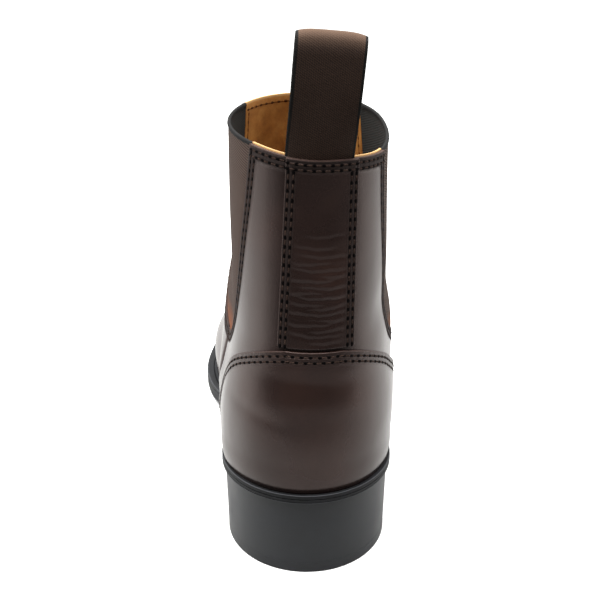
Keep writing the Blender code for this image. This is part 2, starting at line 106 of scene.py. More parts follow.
def curve_through(knots, values, fair=False):
    """A smooth curve through points: a fair one bends evenly, and any other never overshoots."""
    knots = np.asarray(knots, float)
    values = np.asarray(values, float)
    steps = np.diff(knots).reshape((-1,) + (1,) * (values.ndim - 1))
    slopes = np.diff(values, axis=0) / steps
    before, after = slopes[:-1], slopes[1:]
    same_way = before * after > 0
    tangents = np.concatenate((slopes[:1], np.zeros_like(before), slopes[-1:]))
    if fair:
        count = len(knots)
        batten = 4 * np.eye(count) + np.eye(count, k=1) + np.eye(count, k=-1)
        batten[0, 0] = batten[-1, -1] = 2
        pull = np.concatenate((3 * slopes[:1], 3 * (before + after), 3 * slopes[-1:]))
        tangents = np.linalg.solve(batten, pull)
    else:
        total = np.where(same_way, before + after, 1)
        tangents[1:-1] = np.where(same_way, 2 * before * after / total, 0)

    def at(x):
        x = np.clip(np.asarray(x, float), knots[0], knots[-1])
        i = np.clip(np.searchsorted(knots, x, side="right") - 1, 0, len(knots) - 2)
        step = knots[i + 1] - knots[i]
        u = (x - knots[i]) / step
        if values.ndim > 1:
            u, step = u[..., None], step[..., None]
        low = values[i] * (1 + 2 * u) * (1 - u) ** 2 + tangents[i] * step * u * (1 - u) ** 2
        return low + values[i + 1] * u * u * (3 - 2 * u) - tangents[i + 1] * step * u * u * (1 - u)

    return at


sole_bottom = curve_through([r.station for r in SOLE_ROWS], [r.bottom for r in SOLE_ROWS])
sole_top = curve_through(
    [r.station for r in SOLE_ROWS], [r.bottom + r.thickness for r in SOLE_ROWS]
)


def drawn_in(plan, distance):
    """A plan drawn in by a distance on every side."""
    shifts = (1, -1, -1, -1, -1, -1, -1, -1, 0, 0)
    return Plan(*(value + shift * distance for value, shift in zip(plan, shifts)))


def plan_edge(plan, place):
    """Station and side distance of a plan's outline.

    Place 0 is the back seam and 1 or -1 the front, positive on the outer side of the foot."""
    x = plan.back + (plan.front - plan.back) * (1 - np.cos(np.pi * np.abs(place))) / 2
    outer = place >= 0
    waist_at = np.where(outer, *WAIST_STATIONS)
    ball_at = np.where(outer, *BALL_STATIONS)
    waist = np.where(outer, plan.waist_out, plan.waist_in)
    heel_run, ball_run = waist_at - HEEL_STATION, ball_at - waist_at
    before, after = (waist - plan.heel) / heel_run, (plan.ball - waist) / ball_run
    same_way = before * after > 0
    tangent = np.where(same_way, 2 * before * after / np.where(same_way, before + after, 1), 0)
    u = np.clip((x - HEEL_STATION) / heel_run, 0, 1)
    v = np.clip((x - waist_at) / ball_run, 0, 1)
    rear = plan.heel + (waist - plan.heel) * u * u * (3 - 2 * u) - tangent * heel_run * u * u * (1 - u)
    fore = waist + (plan.ball - waist) * v * v * (3 - 2 * v) + tangent * ball_run * v * (1 - v) ** 2
    full = np.where(x < waist_at, rear, fore)
    back = np.clip(1 - (x - plan.back) / plan.round_back, 0, None)
    front = np.clip(1 - (plan.front - x) / (plan.round_front * np.where(outer, *TOE_SKEWS)), 0, None)
    half = full * np.sqrt(np.clip(1 - back**2 - front**2, 0, None))
    start, end = SWING_STATIONS
    share = np.clip((x - start) / (end - start), 0, 1)
    middle = plan.lean_back + (plan.lean_front - plan.lean_back) * share * (2 - share)
    return x, middle + np.where(outer, half, -half)


def plan_ring(plan, height):
    """A closed ring of points round a plan, from the toe round the outer side, heel and inner side."""
    x, y = plan_edge(plan, ROUND_PLACES)
    return np.column_stack((x, y, height(x)))


def middle_line(ring):
    """The ring drawn together on the line half-way between its two sides, which closes a face."""
    closed = ring.copy()
    closed[:, 1] = (ring[:, 1] + ring[::-1, 1]) / 2
    return closed


def loft(name, rows, flat_mm=None):
    """A mesh through rows of points, closed wherever its edges meet.

    flat_mm gives each point's place in millimetres on the flat material, for the UV map."""
    rows = np.asarray(rows, float)
    high, wide = rows.shape[:2]
    bpy.ops.object.select_all(action="DESELECT")
    bpy.ops.mesh.primitive_grid_add(x_subdivisions=wide - 1, y_subdivisions=high - 1, size=1)
    piece = bpy.context.object
    piece.name = piece.data.name = name
    points = (rows.reshape(-1, 3) - (HEEL_REST_STATION, 0, 0)) * MM
    piece.data.vertices.foreach_set("co", points.ravel())
    if flat_mm is not None:
        corners = np.empty(len(piece.data.loops), int)
        piece.data.loops.foreach_get("vertex_index", corners)
        spread = np.asarray(flat_mm, float).reshape(-1, 2)[corners]
        piece.data.uv_layers[0].data.foreach_set("uv", spread.ravel())
    return piece


def capped(name, rings, middle=middle_line):
    """A mesh through rings, closed at both ends by drawing its end rings together."""
    return loft(name, [middle(rings[0]), *rings, middle(rings[-1])])


def close_seams(piece):
    """Joins the points that lie on each other and shades the faces smooth between sharp edges."""
    bpy.ops.object.mode_set(mode="EDIT")
    bpy.ops.mesh.select_all(action="SELECT")
    bpy.ops.mesh.remove_doubles(threshold=JOIN_DISTANCE * MM)
    bpy.ops.object.mode_set(mode="OBJECT")
    bpy.ops.object.shade_smooth_by_angle(angle=math.radians(SMOOTH_ANGLE))
    return piece


def mark(piece, name, values):
    """Gives each point of a piece a measure that its material reads."""
    layer = piece.data.attributes.new(name, "FLOAT", "POINT")
    layer.data.foreach_set("value", np.ravel(values).astype(np.float32))


def linear(colour):
    """An sRGB hex colour as linear red, green, blue and alpha."""
    shares = [int(colour[i : i + 2], 16) / 255 for i in (1, 3, 5)]
    return (*(c / 12.92 if c <= 0.04045 else ((c + 0.055) / 1.055) ** 2.4 for c in shares), 1.0)


def grey(level):
    """A linear grey with its alpha."""
    return (level, level, level, 1.0)


def feed(tree, socket, source):
    """Gives an input socket a value, a hex colour or another socket's link."""
    if isinstance(source, bpy.types.NodeSocket):
        tree.links.new(source, socket)
    else:
        socket.default_value = linear(source) if isinstance(source, str) else source


def add_node(tree, kind, sources=None, **settings):
    """A shader node with its settings and with what feeds its inputs."""
    made = tree.nodes.new("ShaderNode" + kind)
    for name, value in settings.items():
        setattr(made, name, value)
    for socket, source in (sources or {}).items():
        feed(tree, made.inputs[socket], source)
    return made


def own_place(tree):
    """Where a point lies in its piece's own coordinates."""
    return add_node(tree, "TexCoord").outputs["Object"]


def noise(tree, size, **inputs):
    """Cloudy noise over a piece, its clouds of a size in millimetres."""
    sources = {"Vector": own_place(tree), "Scale": 1 / (size * MM), **inputs}
    return add_node(tree, "TexNoise", sources).outputs["Fac"]


def attribute(tree, name):
    """A measure that the mesh carries at each point."""
    return add_node(tree, "Attribute", attribute_name=name).outputs["Fac"]


def ramp(tree, value, *stops):
    """A colour picked by a value from stops, each a place and a hex colour or a grey level."""
    made = add_node(tree, "ValToRGB", {"Fac": value})
    for i, (place, colour) in enumerate(stops):
        stop = made.color_ramp.elements[i] if i < 2 else made.color_ramp.elements.new(place)
        stop.position = place
        stop.color = linear(colour) if isinstance(colour, str) else grey(colour)
    return made.outputs["Color"]


def blend(tree, share, under, over):
    """One colour laid over another by a share."""
    return add_node(tree, "Mix", {"Factor": share, 6: under, 7: over}, data_type="RGBA").outputs[2]


def ranged(tree, value, start, end, low=0.0, high=1.0, **settings):
    """A number that goes from low to high while a value goes from start to end."""
    sources = {"Value": value, "From Min": start, "From Max": end, "To Min": low, "To Max": high}
    return add_node(tree, "MapRange", sources, **settings).outputs["Result"]


def bumped(tree, height, strength, depth, under=None):
    """Relief of a depth in millimetres, laid over the relief under it."""
    sources = {"Height": height, "Strength": strength, "Distance": depth * MM}
    if under is not None:
        sources["Normal"] = under
    return add_node(tree, "Bump", sources).outputs["Normal"]


def set_shader(tree, **sources):
    """Feeds the sockets of a material's shader. Even values are set on the socket itself."""
    shader = tree.nodes["Principled BSDF"]
    for name, source in sources.items():
        feed(tree, shader.inputs[name.replace("_", " ").title().replace("Ior", "IOR")], source)


def new_material(name, **sources):
    """A material and its node tree, with the even values of its shader."""
    made = bpy.data.materials.new(name)
    made.use_nodes = True
    set_shader(made.node_tree, **sources)
    return made, made.node_tree


def dress(piece, material, slot_name, *nodes):
    """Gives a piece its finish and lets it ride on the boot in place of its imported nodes."""
    piece.data.materials.clear()
    piece.data.materials.append(material)
    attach(piece, "root")
    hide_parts(*nodes)


def moulded_rubber(name, dark, light, dull, shine, tooth):
    """Rubber as it comes from its mould, almost black and a little dusty, with a pale painted highlight
    along the edges that carry the painted_glint measure.
    """
    made, tree = new_material(name, ior=1.52, specular_ior_level=shine)
    dust = noise(tree, DUST_PATCH, Detail=4.0)
    tint = ramp(tree, dust, (0.35, dark), (0.7, light))
    # Painted highlight: the marked edges are blended towards pale grey rubber.
    set_shader(
        tree,
        base_color=blend(tree, attribute(tree, "painted_glint"), tint, RUBBER_PAINTED_GLINT),
        roughness=ranged(tree, dust, 0.3, 0.7, dull - DUST_DULLS, dull + DUST_DULLS),
        normal=bumped(tree, noise(tree, MOULD_GRAIN), tooth, MOULD_DEPTH),
    )
    return made


# The sole's edge is buffed after moulding: blacker and duller than the heel below it.
edge_rubber = moulded_rubber(
    "buffed_sole_edge_rubber", EDGE_BLACK, EDGE_GREY, dull=0.62, shine=0.3, tooth=0.5
)
sole_rings = [
    plan_ring(
        drawn_in(SOLE_PLAN, step.inset),
        lambda x: sole_bottom(x) + step.share * (sole_top(x) - sole_bottom(x)),
    )
    for step in SOLE_SIDE
]
outsole = capped("outsole_rubber", sole_rings)
# The lower rounded edge of the sole's side carries a pale line, a painted highlight.
painted_glint = [0.0 < step.share < GLINT_BELOW_SHARE for step in SOLE_SIDE]
mark(outsole, "painted_glint", np.repeat([painted_glint[0], *painted_glint, painted_glint[-1]], len(ROUND_PLACES)))
dress(close_seams(outsole), edge_rubber, "black_rubber", "outsole")

# Heel
# The block heel is solid moulded rubber with a straight breast, glued and nailed under the seat.
# A separate top lift of harder rubber is glued to it and takes the wear.
HEEL_BREAST_STATION = 74.0
HEEL_BLOCK_INSET = 1.5
HEEL_BASE_INSET = 2.4
HEEL_BASE_BACK = 1.2
HEEL_ROWS = 9
HEEL_EDGE_ROUND = 0.15
TOP_LIFT_HEIGHT = 4.2
LIFT_RINGS = (0.0, 2.0, TOP_LIFT_HEIGHT)
LIFT_GAP = 0.04
RUBBER_BLACK = "#16181c"
RUBBER_GREY = "#1f2126"
HEEL_PLACES = np.linspace(1, -1, 97)
BREAST_POINTS = 16


def heel_ring(plan, height):
    """A closed ring round the heel, cut straight across at the breast."""
    share = (HEEL_BREAST_STATION - plan.back) / (plan.front - plan.back)
    x, y = plan_edge(plan, HEEL_PLACES * math.acos(1 - 2 * share) / math.pi)
    across = np.linspace(y[-1], y[0], BREAST_POINTS + 1)[1:]
    x = np.concatenate((x, np.full(BREAST_POINTS, HEEL_BREAST_STATION)))
    return np.column_stack((x, np.concatenate((y, across)), height(x)))


def heel_middle(ring):
    """The heel's ring drawn together on its middle line."""
    closed = ring.copy()
    count = len(HEEL_PLACES)
    closed[:count, 1] = (ring[:count, 1] + ring[count - 1 :: -1, 1]) / 2
    closed[count:, 1] = closed[0, 1]
    return closed


def shape(piece, kind, **settings):
    """Adds a modifier to a piece and applies it."""
    modifier = piece.modifiers.new(kind.lower(), kind)
    for name, value in settings.items():
        setattr(modifier, name, value)
    bpy.context.view_layer.objects.active = piece
    bpy.ops.object.modifier_apply(modifier=modifier.name)


def round_edges(piece, radius, segments, corner, smooth):
    """Rounds the edges sharper than a corner and shades those below an angle smooth, in degrees."""
    sharp = {"limit_method": "ANGLE", "angle_limit": math.radians(corner)}
    shape(piece, "BEVEL", width=radius * MM, segments=segments, **sharp)
    bpy.ops.object.shade_smooth_by_angle(angle=math.radians(smooth))


# The heel keeps the satin skin of its mould, a little bluer than the sole's edge.
heel_rubber = moulded_rubber(
    "satin_heel_rubber", RUBBER_BLACK, RUBBER_GREY, dull=0.4, shine=0.5, tooth=0.06
)
heel_top_plan = drawn_in(SOLE_PLAN, HEEL_BLOCK_INSET)
heel_base_plan = drawn_in(SOLE_PLAN, HEEL_BASE_INSET)._replace(back=HEEL_BASE_BACK)
block_base = heel_ring(heel_base_plan, lambda x: np.full_like(x, TOP_LIFT_HEIGHT + LIFT_GAP))
block_top = heel_ring(heel_top_plan, lambda x: sole_bottom(x) - PIECE_GAP)
block_rows = [block_base + (block_top - block_base) * share for share in np.linspace(0, 1, HEEL_ROWS)]
lift_rows = [heel_ring(heel_base_plan, lambda x: np.full_like(x, z)) for z in LIFT_RINGS]
for name, node, rows in (
    ("heel_rubber", "heel_block", block_rows),
    ("top_lift_rubber", "top_lift", lift_rows),
):
    piece = close_seams(capped(name, rows, heel_middle))
    round_edges(piece, HEEL_EDGE_ROUND, segments=3, corner=50, smooth=SMOOTH_ANGLE)
    dress(piece, heel_rubber, "black_rubber", node)

# The upper's last
# The upper was pulled over a wooden last. The last is drawn as a stack of levels, from the feather
# edge at the sole to the collar, and each panel of leather, lining and elastic is cut from it.
HEEL_SEAT_HEIGHT = 35.7
COLLAR_BACK_HEIGHT = 176.0
COLLAR_FRONT_HEIGHT = 183.0
TOE_FEATHER_HEIGHT = 20.7
Level = namedtuple(
    "Level",
    "rise_back inset rise_front reach round_back round_front "
    "heel waist_out waist_in ball lean_back lean_front dip",
)
LEVELS = (
    Level(0.000, 6.0, 0.000, 0.976, 40.0, 88, 0.872, 0.838, 0.713, 0.870, -0.5, -1.8, 1.00),
    Level(0.062, 3.2, 0.050, 0.981, 41.0, 91, 0.930, 0.890, 0.798, 0.882, -0.5, -2.2, 1.00),
    Level(0.124, 1.6, 0.104, 0.971, 42.0, 97, 0.945, 0.920, 0.872, 0.888, -0.6, -2.7, 1.00),
    Level(0.185, 1.0, 0.155, 0.942, 43.0, 106, 0.949, 0.941, 0.931, 0.888, -0.7, -3.2, 0.95),
    Level(0.250, 1.2, 0.196, 0.888, 44.0, 118, 0.940, 0.957, 0.973, 0.880, -0.9, -3.6, 0.90),
    Level(0.316, 2.0, 0.237, 0.811, 45.0, 126, 0.919, 0.966, 1.000, 0.868, -1.3, -3.9, 0.80),
    Level(0.390, 3.0, 0.288, 0.720, 46.0, 126, 0.901, 0.970, 1.008, 0.850, -1.9, -3.9, 0.70),
    Level(0.460, 4.3, 0.354, 0.628, 47.5, 118, 0.893, 0.962, 0.995, 0.813, -2.5, -3.4, 0.55),
    Level(0.550, 5.8, 0.440, 0.547, 49.0, 104, 0.893, 0.945, 0.965, 0.749, -2.8, -2.2, 0.40),
    Level(0.645, 7.2, 0.545, 0.486, 50.5, 86, 0.901, 0.928, 0.936, 0.687, -3.2, -1.3, 0.25),
    Level(0.755, 8.6, 0.675, 0.446, 52.0, 70, 0.911, 0.920, 0.922, 0.647, -3.6, -0.2, 0.12),
    Level(0.870, 10.0, 0.828, 0.421, 53.5, 60, 0.916, 0.917, 0.917, 0.632, -4.1, 0.6, 0.05),
    Level(1.000, 11.0, 1.000, 0.404, 54.0, 54.5, 0.916, 0.916, 0.916, 0.628, -4.7, 1.2, 0.00),
)
COLLAR = len(LEVELS) - 1
level_columns = curve_through(range(len(LEVELS)), LEVELS, fair=True)


def level_at(t):
    """The last's measures at a level."""
    return Level(*np.moveaxis(level_columns(t), -1, 0))


def level_plan(level):
    """The plan outline of a level."""
    return Plan(
        back=level.inset,
        front=level.reach * SOLE_LENGTH,
        round_back=level.round_back,
        round_front=level.round_front,
        heel=level.heel * HEEL_WIDTH / 2,
        waist_out=level.waist_out * HEEL_WIDTH / 2,
        waist_in=level.waist_in * HEEL_WIDTH / 2,
        ball=level.ball * BALL_WIDTH / 2,
        lean_back=level.lean_back,
        lean_front=level.lean_front,
    )


def smooth_step(value, low, high):
    """A share that rises smoothly from 0 at low to 1 at high."""
    share = np.clip((value - low) / (high - low), 0, 1)
    return share * share * (3 - 2 * share)


RimDip = namedtuple("RimDip", "place spread depth")
RIM_DIPS = (
    RimDip(0.05, 0.16, 1.6),
    RimDip(-0.32, 0.22, 4.3),
)
DIP_FROM_LEVEL = 8.0
UPRIGHT_WITHIN = 0.25


def last_point(t, place):
    """A point of the last at a level and a place round it.

    The collar sags a little at the back and on the inner side."""
    place = (place + 1) % 2 - 1
    level = level_at(t)
    plan = level_plan(level)
    x, y = plan_edge(plan, place)
    z_back = HEEL_SEAT_HEIGHT + level.rise_back * (COLLAR_BACK_HEIGHT - HEEL_SEAT_HEIGHT)
    z_front = TOE_FEATHER_HEIGHT + level.rise_front * (COLLAR_FRONT_HEIGHT - TOE_FEATHER_HEIGHT)
    share = (x - plan.back) / (plan.front - plan.back)
    straight = z_back + (z_front - z_back) * share
    over_back = z_back - sole_top(plan.back)
    over_front = z_front - sole_top(plan.front)
    curved = sole_top(x) + over_back + (over_front - over_back) * share
    sag = sum(dip.depth * np.exp(-(((place - dip.place) / dip.spread) ** 2)) for dip in RIM_DIPS)
    drop = sag * smooth_step(t, DIP_FROM_LEVEL, COLLAR)
    return np.stack((x, y, straight + (curved - straight) * level.dip - drop), axis=-1)


def last_slopes(t, place):
    """How the last's points move for one level up and for one step round it."""
    dt, ds = 0.03, 0.003
    low, high = np.clip(t - dt, 0, COLLAR), np.clip(t + dt, 0, COLLAR)
    upward = (last_point(high, place) - last_point(low, place)) / (high - low)[..., None]
    around = (last_point(t, place + ds) - last_point(t, place - ds)) / (2 * ds)
    return upward, around


def last_normal(t, place):
    """The outward direction, level at the feather edge and at the collar."""
    upward, around = last_slopes(t, place)
    normal = np.cross(upward, around)
    normal[..., 2] *= np.clip(np.minimum(t, COLLAR - t) / UPRIGHT_WITHIN, 0, 1)
    return normal / np.linalg.norm(normal, axis=-1, keepdims=True)


SoftMark = namedtuple("SoftMark", "level place along upward depth")
SOFT_MARKS = (
    SoftMark(5.8, 0.39, 30.0, 22.0, 4.0),
    SoftMark(2.2, 0.40, 28.0, 26.0, 4.6),
    SoftMark(6.6, 0.54, 26.0, 16.0, 2.2),
    SoftMark(2.2, 0.61, 42.0, 16.0, 2.6),
    SoftMark(3.6, 0.316, 13.0, 22.0, 1.4),
    SoftMark(6.8, -0.355, 14.0, 11.0, 2.3),
    SoftMark(7.9, -0.27, 16.0, 10.0, -0.8),
    SoftMark(5.65, 0.0, 20.0, 4.0, -0.55),
    SoftMark(4.6, 0.0, 20.0, 4.5, 0.42),
    SoftMark(3.95, 0.12, 14.0, 3.0, -0.32),
    SoftMark(4.2, 1.02, 9.0, 8.0, -0.9),
    SoftMark(3.2, 0.98, 16.0, 7.0, 0.6),
    SoftMark(6.4, 1.00, 10.0, 26.0, 0.7),
    SoftMark(6.2, 0.90, 8.0, 30.0, -0.5),
    SoftMark(6.2, -0.90, 8.0, 30.0, -0.5),
    SoftMark(8.2, 0.97, 30.0, 5.0, -0.5),
    SoftMark(7.5, -0.93, 26.0, 5.0, -0.4),
)
MARK_REACH = 28.0


def soft_marks(t, place):
    """Lift of the soft swellings and dents that the foot has left in the upper."""
    points = last_point(t, place)
    lift = np.zeros(t.shape)
    for mark in SOFT_MARKS:
        at, turn = np.array(mark.level), np.array(mark.place)
        upward, around = (way / np.linalg.norm(way) for way in last_slopes(at, turn))
        offset = points - last_point(at, turn)
        spread = (offset @ around / mark.along) ** 2 + (offset @ upward / mark.upward) ** 2
        spread += (offset @ last_normal(at, turn) / MARK_REACH) ** 2
        lift += mark.depth * np.exp(-spread)
    return lift


def on_last(t, place, lift=0.0):
    """Points of the worn upper, raised along its outward direction by a lift."""
    t, place, lift = np.broadcast_arrays(*(np.asarray(value, float) for value in (t, place, lift)))
    return last_point(t, place) + last_normal(t, place) * (lift + soft_marks(t, place))[..., None]


def place_at(t, station):
    """The place round a level, on the outer side, of a station."""
    level = level_at(np.asarray(t, float))
    plan = level_plan(level)
    share = (station - plan.back) / (plan.front - plan.back)
    return np.arccos(np.clip(1 - 2 * share, -1, 1)) / np.pi


# Storm welt
# A moulded rubber strip is sewn round the sole's upper edge. Over the forefoot it carries a round
# bead against the upper and a top face rolled with a toothed wheel, and at the heel a plain rim.
WeltPoint = namedtuple("WeltPoint", "cover_fore cover_heel bead flat")
WELT_SECTION = (
    WeltPoint(0.02, 0.00, 0.0, 0.0),
    WeltPoint(0.00, 0.00, 1.3, 1.3),
    WeltPoint(0.06, 0.06, 1.6, 1.6),
    WeltPoint(0.50, 0.24, 1.6, 1.6),
    WeltPoint(0.55, 0.28, 0.9, 1.4),
    WeltPoint(0.60, 0.32, 2.3, 1.4),
    WeltPoint(0.74, 0.36, 3.0, 1.4),
    WeltPoint(0.88, 0.40, 2.4, 1.4),
    WeltPoint(0.94, 0.42, 0.0, 0.0),
    WeltPoint(0.02, 0.00, 0.0, 0.0),
)
WELT_SAMPLES = 4
BEAD_LEVEL = 0.4
BEAD_FADE = (66.0, 104.0)
WHEEL_PITCH = 1.5
WHEEL_DEPTH = 0.3
WHEELED_COVER = (0.05, 0.50)
WHEELED_HEIGHT = 1.5
WELT_GLINT_STEP = 1.6
WELT_GLINT_RUN = 0.6


def tape(points):
    """Distance along a row of points from its first one."""
    return np.concatenate(((0.0,), np.cumsum(np.linalg.norm(np.diff(points, axis=0), axis=1))))


def flat_place(tree):
    """Sockets for how far a point lies across (X) and along (Y) its flat material, in millimetres."""
    flat_map = add_node(tree, "UVMap", uv_map="UVMap").outputs["UV"]
    return add_node(tree, "SeparateXYZ", {"Vector": flat_map}).outputs


def reckon(tree, operation, *terms, **settings):
    """The outcome of a sum, its terms values or sockets."""
    made = add_node(tree, "Math", dict(enumerate(terms)), operation=operation, **settings)
    return made.outputs["Value"]


def ribs(tree, distance, pitch):
    """Even ribs along a distance, from -1 to 1, one to each pitch in millimetres."""
    return reckon(tree, "SINE", reckon(tree, "MULTIPLY", distance, 2 * math.pi / pitch))


welt_outer = plan_ring(SOLE_PLAN, sole_top)
welt_inner = plan_ring(level_plan(level_at(np.array(BEAD_LEVEL))), sole_top)
fore = smooth_step(welt_outer[:, 0], *BEAD_FADE)
section = curve_through(range(len(WELT_SECTION)), WELT_SECTION)
section_steps = np.linspace(0, len(WELT_SECTION) - 1, WELT_SAMPLES * (len(WELT_SECTION) - 1) + 1)
welt_rows, welt_flat, wheeled, welt_painted_glint = [], [], [], []
for step, (cover_fore, cover_heel, bead, flat) in zip(section_steps, section(section_steps)):
    cover = cover_heel + (cover_fore - cover_heel) * fore
    row = welt_outer + (welt_inner - welt_outer) * cover[:, None]
    row[:, 2] = sole_top(row[:, 0]) + PIECE_GAP + flat + (bead - flat) * fore
    on_top = WHEELED_COVER[0] < cover_fore < WHEELED_COVER[1] and flat > WHEELED_HEIGHT
    welt_rows.append(row)
    welt_flat.append(np.column_stack((tape(welt_outer), np.full(len(row), cover_fore))))
    wheeled.append(fore * on_top)
    # The welt's top outer edge carries a pale line, a painted highlight.
    welt_painted_glint.append(np.full(len(row), max(0, 1 - abs(step - WELT_GLINT_STEP) / WELT_GLINT_RUN)))
storm_welt = loft("storm_welt_rubber", welt_rows, welt_flat)
mark(storm_welt, "wheeled", wheeled)
mark(storm_welt, "painted_glint", welt_painted_glint)

# The wheel leaves fine ridges across the welt, which catch the light as a row of short lines.
wheeled_rubber = edge_rubber.copy()
wheeled_rubber.name = "wheeled_welt_rubber"
tree = wheeled_rubber.node_tree
ridge = ribs(tree, flat_place(tree)["X"], WHEEL_PITCH)
ridges = reckon(tree, "MULTIPLY", ridge, attribute(tree, "wheeled"))
set_shader(tree, normal=bumped(tree, ridges, 0.9, WHEEL_DEPTH))
dress(close_seams(storm_welt), wheeled_rubber, "black_rubber", "storm_welt")

# Insole
# The sock inside the boot is tan leather glued on a fibre board. It is dished a little by the foot,
# and its edge lies against the lining all round.
INSOLE_THICKNESS = 3.2
INSOLE_INSET = 3.0
INSOLE_DISH = 0.8
InsoleStep = namedtuple("InsoleStep", "inset rise")
INSOLE_SIDE = (
    InsoleStep(12.0, 0.0),
    InsoleStep(0.0, 0.0),
    InsoleStep(0.0, INSOLE_THICKNESS - 0.5),
    InsoleStep(0.5, INSOLE_THICKNESS),
    InsoleStep(8.0, INSOLE_THICKNESS - INSOLE_DISH / 2),
    InsoleStep(16.0, INSOLE_THICKNESS - INSOLE_DISH),
)
LINING_TAN = "#a87036"
LINING_LIGHT = "#c68f4c"
LINING_DARK = "#7d4d20"
CALF_PATCH = 14.0
CALF_PORE = 0.8
CALF_PORE_DEPTH = 0.08

# Lining calf is vegetable tanned and left unpolished: warm tan, a little patchy and nearly matt.
lining_calf, tree = new_material("tan_lining_calf", ior=1.46, specular_ior_level=0.3)
patch = noise(tree, CALF_PATCH, Detail=5.0, Roughness=0.75)
pores = add_node(tree, "TexVoronoi", {"Vector": own_place(tree), "Scale": 1 / (CALF_PORE * MM)})
set_shader(
    tree,
    base_color=ramp(tree, patch, (0.25, LINING_DARK), (0.5, LINING_TAN), (0.75, LINING_LIGHT)),
    roughness=ranged(tree, patch, 0.3, 0.7, 0.6, 0.74),
    normal=bumped(tree, pores.outputs["Distance"], 0.25, CALF_PORE_DEPTH),
)

insole_plan = drawn_in(level_plan(level_at(np.array(0.0))), INSOLE_INSET)
sock_rings = [
    plan_ring(drawn_in(insole_plan, step.inset), lambda x: sole_top(x) + PIECE_GAP + step.rise)
    for step in INSOLE_SIDE
]
dress(close_seams(capped("insole_sock", sock_rings)), lining_calf, "tan_lining", "insole")

# Vamp
# The front of the boot is one piece of polished leather, pulled over the toe and up to the collar.
# Its rear edge runs down beside the elastic gore and on as a closed seam to the sole.
LEATHER_THICKNESS = 1.3
LEATHER_EDGE_ROUND = 0.3
SEAM_LAP = 0.04
SEAM_GROOVE_DEPTH = 1.0
SEAM_GROOVE_WIDTH = 1.3
SEAM_FADE = 0.2
GORE_TIP_LEVEL = 6.2
GoreRow = namedtuple("GoreRow", "rise rear_outer rear_inner front")
GORE_ROWS = (
    GoreRow(0.00, 50.0, 50.5, 58.0),
    GoreRow(0.02, 47.8, 47.6, 62.0),
    GoreRow(0.06, 45.8, 44.2, 67.0),
    GoreRow(0.13, 43.4, 40.2, 73.5),
    GoreRow(0.27, 39.2, 37.2, 83.0),
    GoreRow(0.49, 35.2, 35.6, 91.0),
    GoreRow(0.75, 31.4, 34.5, 95.5),
    GoreRow(1.00, 28.8, 33.5, 98.0),
)
SeamRow = namedtuple("SeamRow", "level station")
SIDE_SEAM = (
    SeamRow(0.0, 85.5),
    SeamRow(1.7, 74.8),
    SeamRow(3.2, 62.2),
    SeamRow(4.6, 54.8),
    SeamRow(5.6, 54.8),
)
gore_levels = [GORE_TIP_LEVEL + row.rise * (COLLAR - GORE_TIP_LEVEL) for row in GORE_ROWS]
seam_levels = [row.level for row in SIDE_SEAM]
seam_stations = [row.station for row in SIDE_SEAM]
vamp_edge = curve_through(seam_levels + gore_levels, seam_stations + [row.front for row in GORE_ROWS])
PANEL_LEVELS = np.unique(
    np.concatenate((np.linspace(0, COLLAR, 97), np.linspace(5.7, 7.0, 27)))
)[:, None]
VAMP_COLUMNS = 171
VAMP_CROWD = (0.8, 0.8)
STITCH_ROWS_VAMP = (1.8, 4.1)
LEATHER_DARK = "#1c1412"
LEATHER_BROWN = "#2c201d"
LEATHER_RED = "#392721"
CUT_EDGE_AND_HIGHLIGHT = "#4a352d"
SEWN_PAINTED_SHADE = "#0c0807"
POLISH_TINT = "#ffe0d8"
POLISH_PATCH = 42.0
COAT = 0.25
SEWN_DULL = 0.55
SEWN_UNWAXED = 1.3
EDGE_REACH = 8.0
EDGE_LIGHT_WIDTH = 0.55
PRESSED_HALF_WIDTH = 0.8
STITCH_DENT = 0.5
PUCKER_SIZE = 1.7
PUCKER_DEPTH = 0.35
PUCKER_FADE = 2.0
GRAIN_SIZE = 0.9
GRAIN_DEPTH = 0.07
PANEL_WAVE = 16.0
PANEL_WAVE_DEPTH = 0.5


def edge_distance(points, *edges):
    """Distance of each point from the nearest of some edges, each a row of points."""
    flat = points.reshape(-1, 3)
    nearest = np.full(len(flat), np.inf)
    for edge in edges:
        for start, end in zip(edge[:-1], edge[1:]):
            run = end - start
            share = np.clip(((flat - start) @ run) / max(run @ run, 1e-9), 0, 1)
            nearest = np.minimum(nearest, np.linalg.norm(flat - start - share[:, None] * run, axis=1))
    return nearest


def thicken(piece, thickness, offset=-1):
    """Gives a sheet its thickness: inwards, or to both sides with an offset of 0."""
    shape(piece, "SOLIDIFY", thickness=thickness * MM, offset=offset, use_even_offset=True)


def cut_panel(name, rows, edges, thickness=LEATHER_THICKNESS, edge_round=LEATHER_EDGE_ROUND, seam=None):
    """A panel with real thickness, its cut edges rounded, that knows how far each point is from them.

    seam says how deep each point lies in a closed seam, from 0 to 1."""
    piece = loft(name, rows)
    mark(piece, "edge_mm", edge_distance(rows, *edges))
    if seam is not None:
        mark(piece, "seam", seam)
    close_seams(piece)
    thicken(piece, thickness)
    round_edges(piece, edge_round, segments=2, corner=55, smooth=50)
    return piece


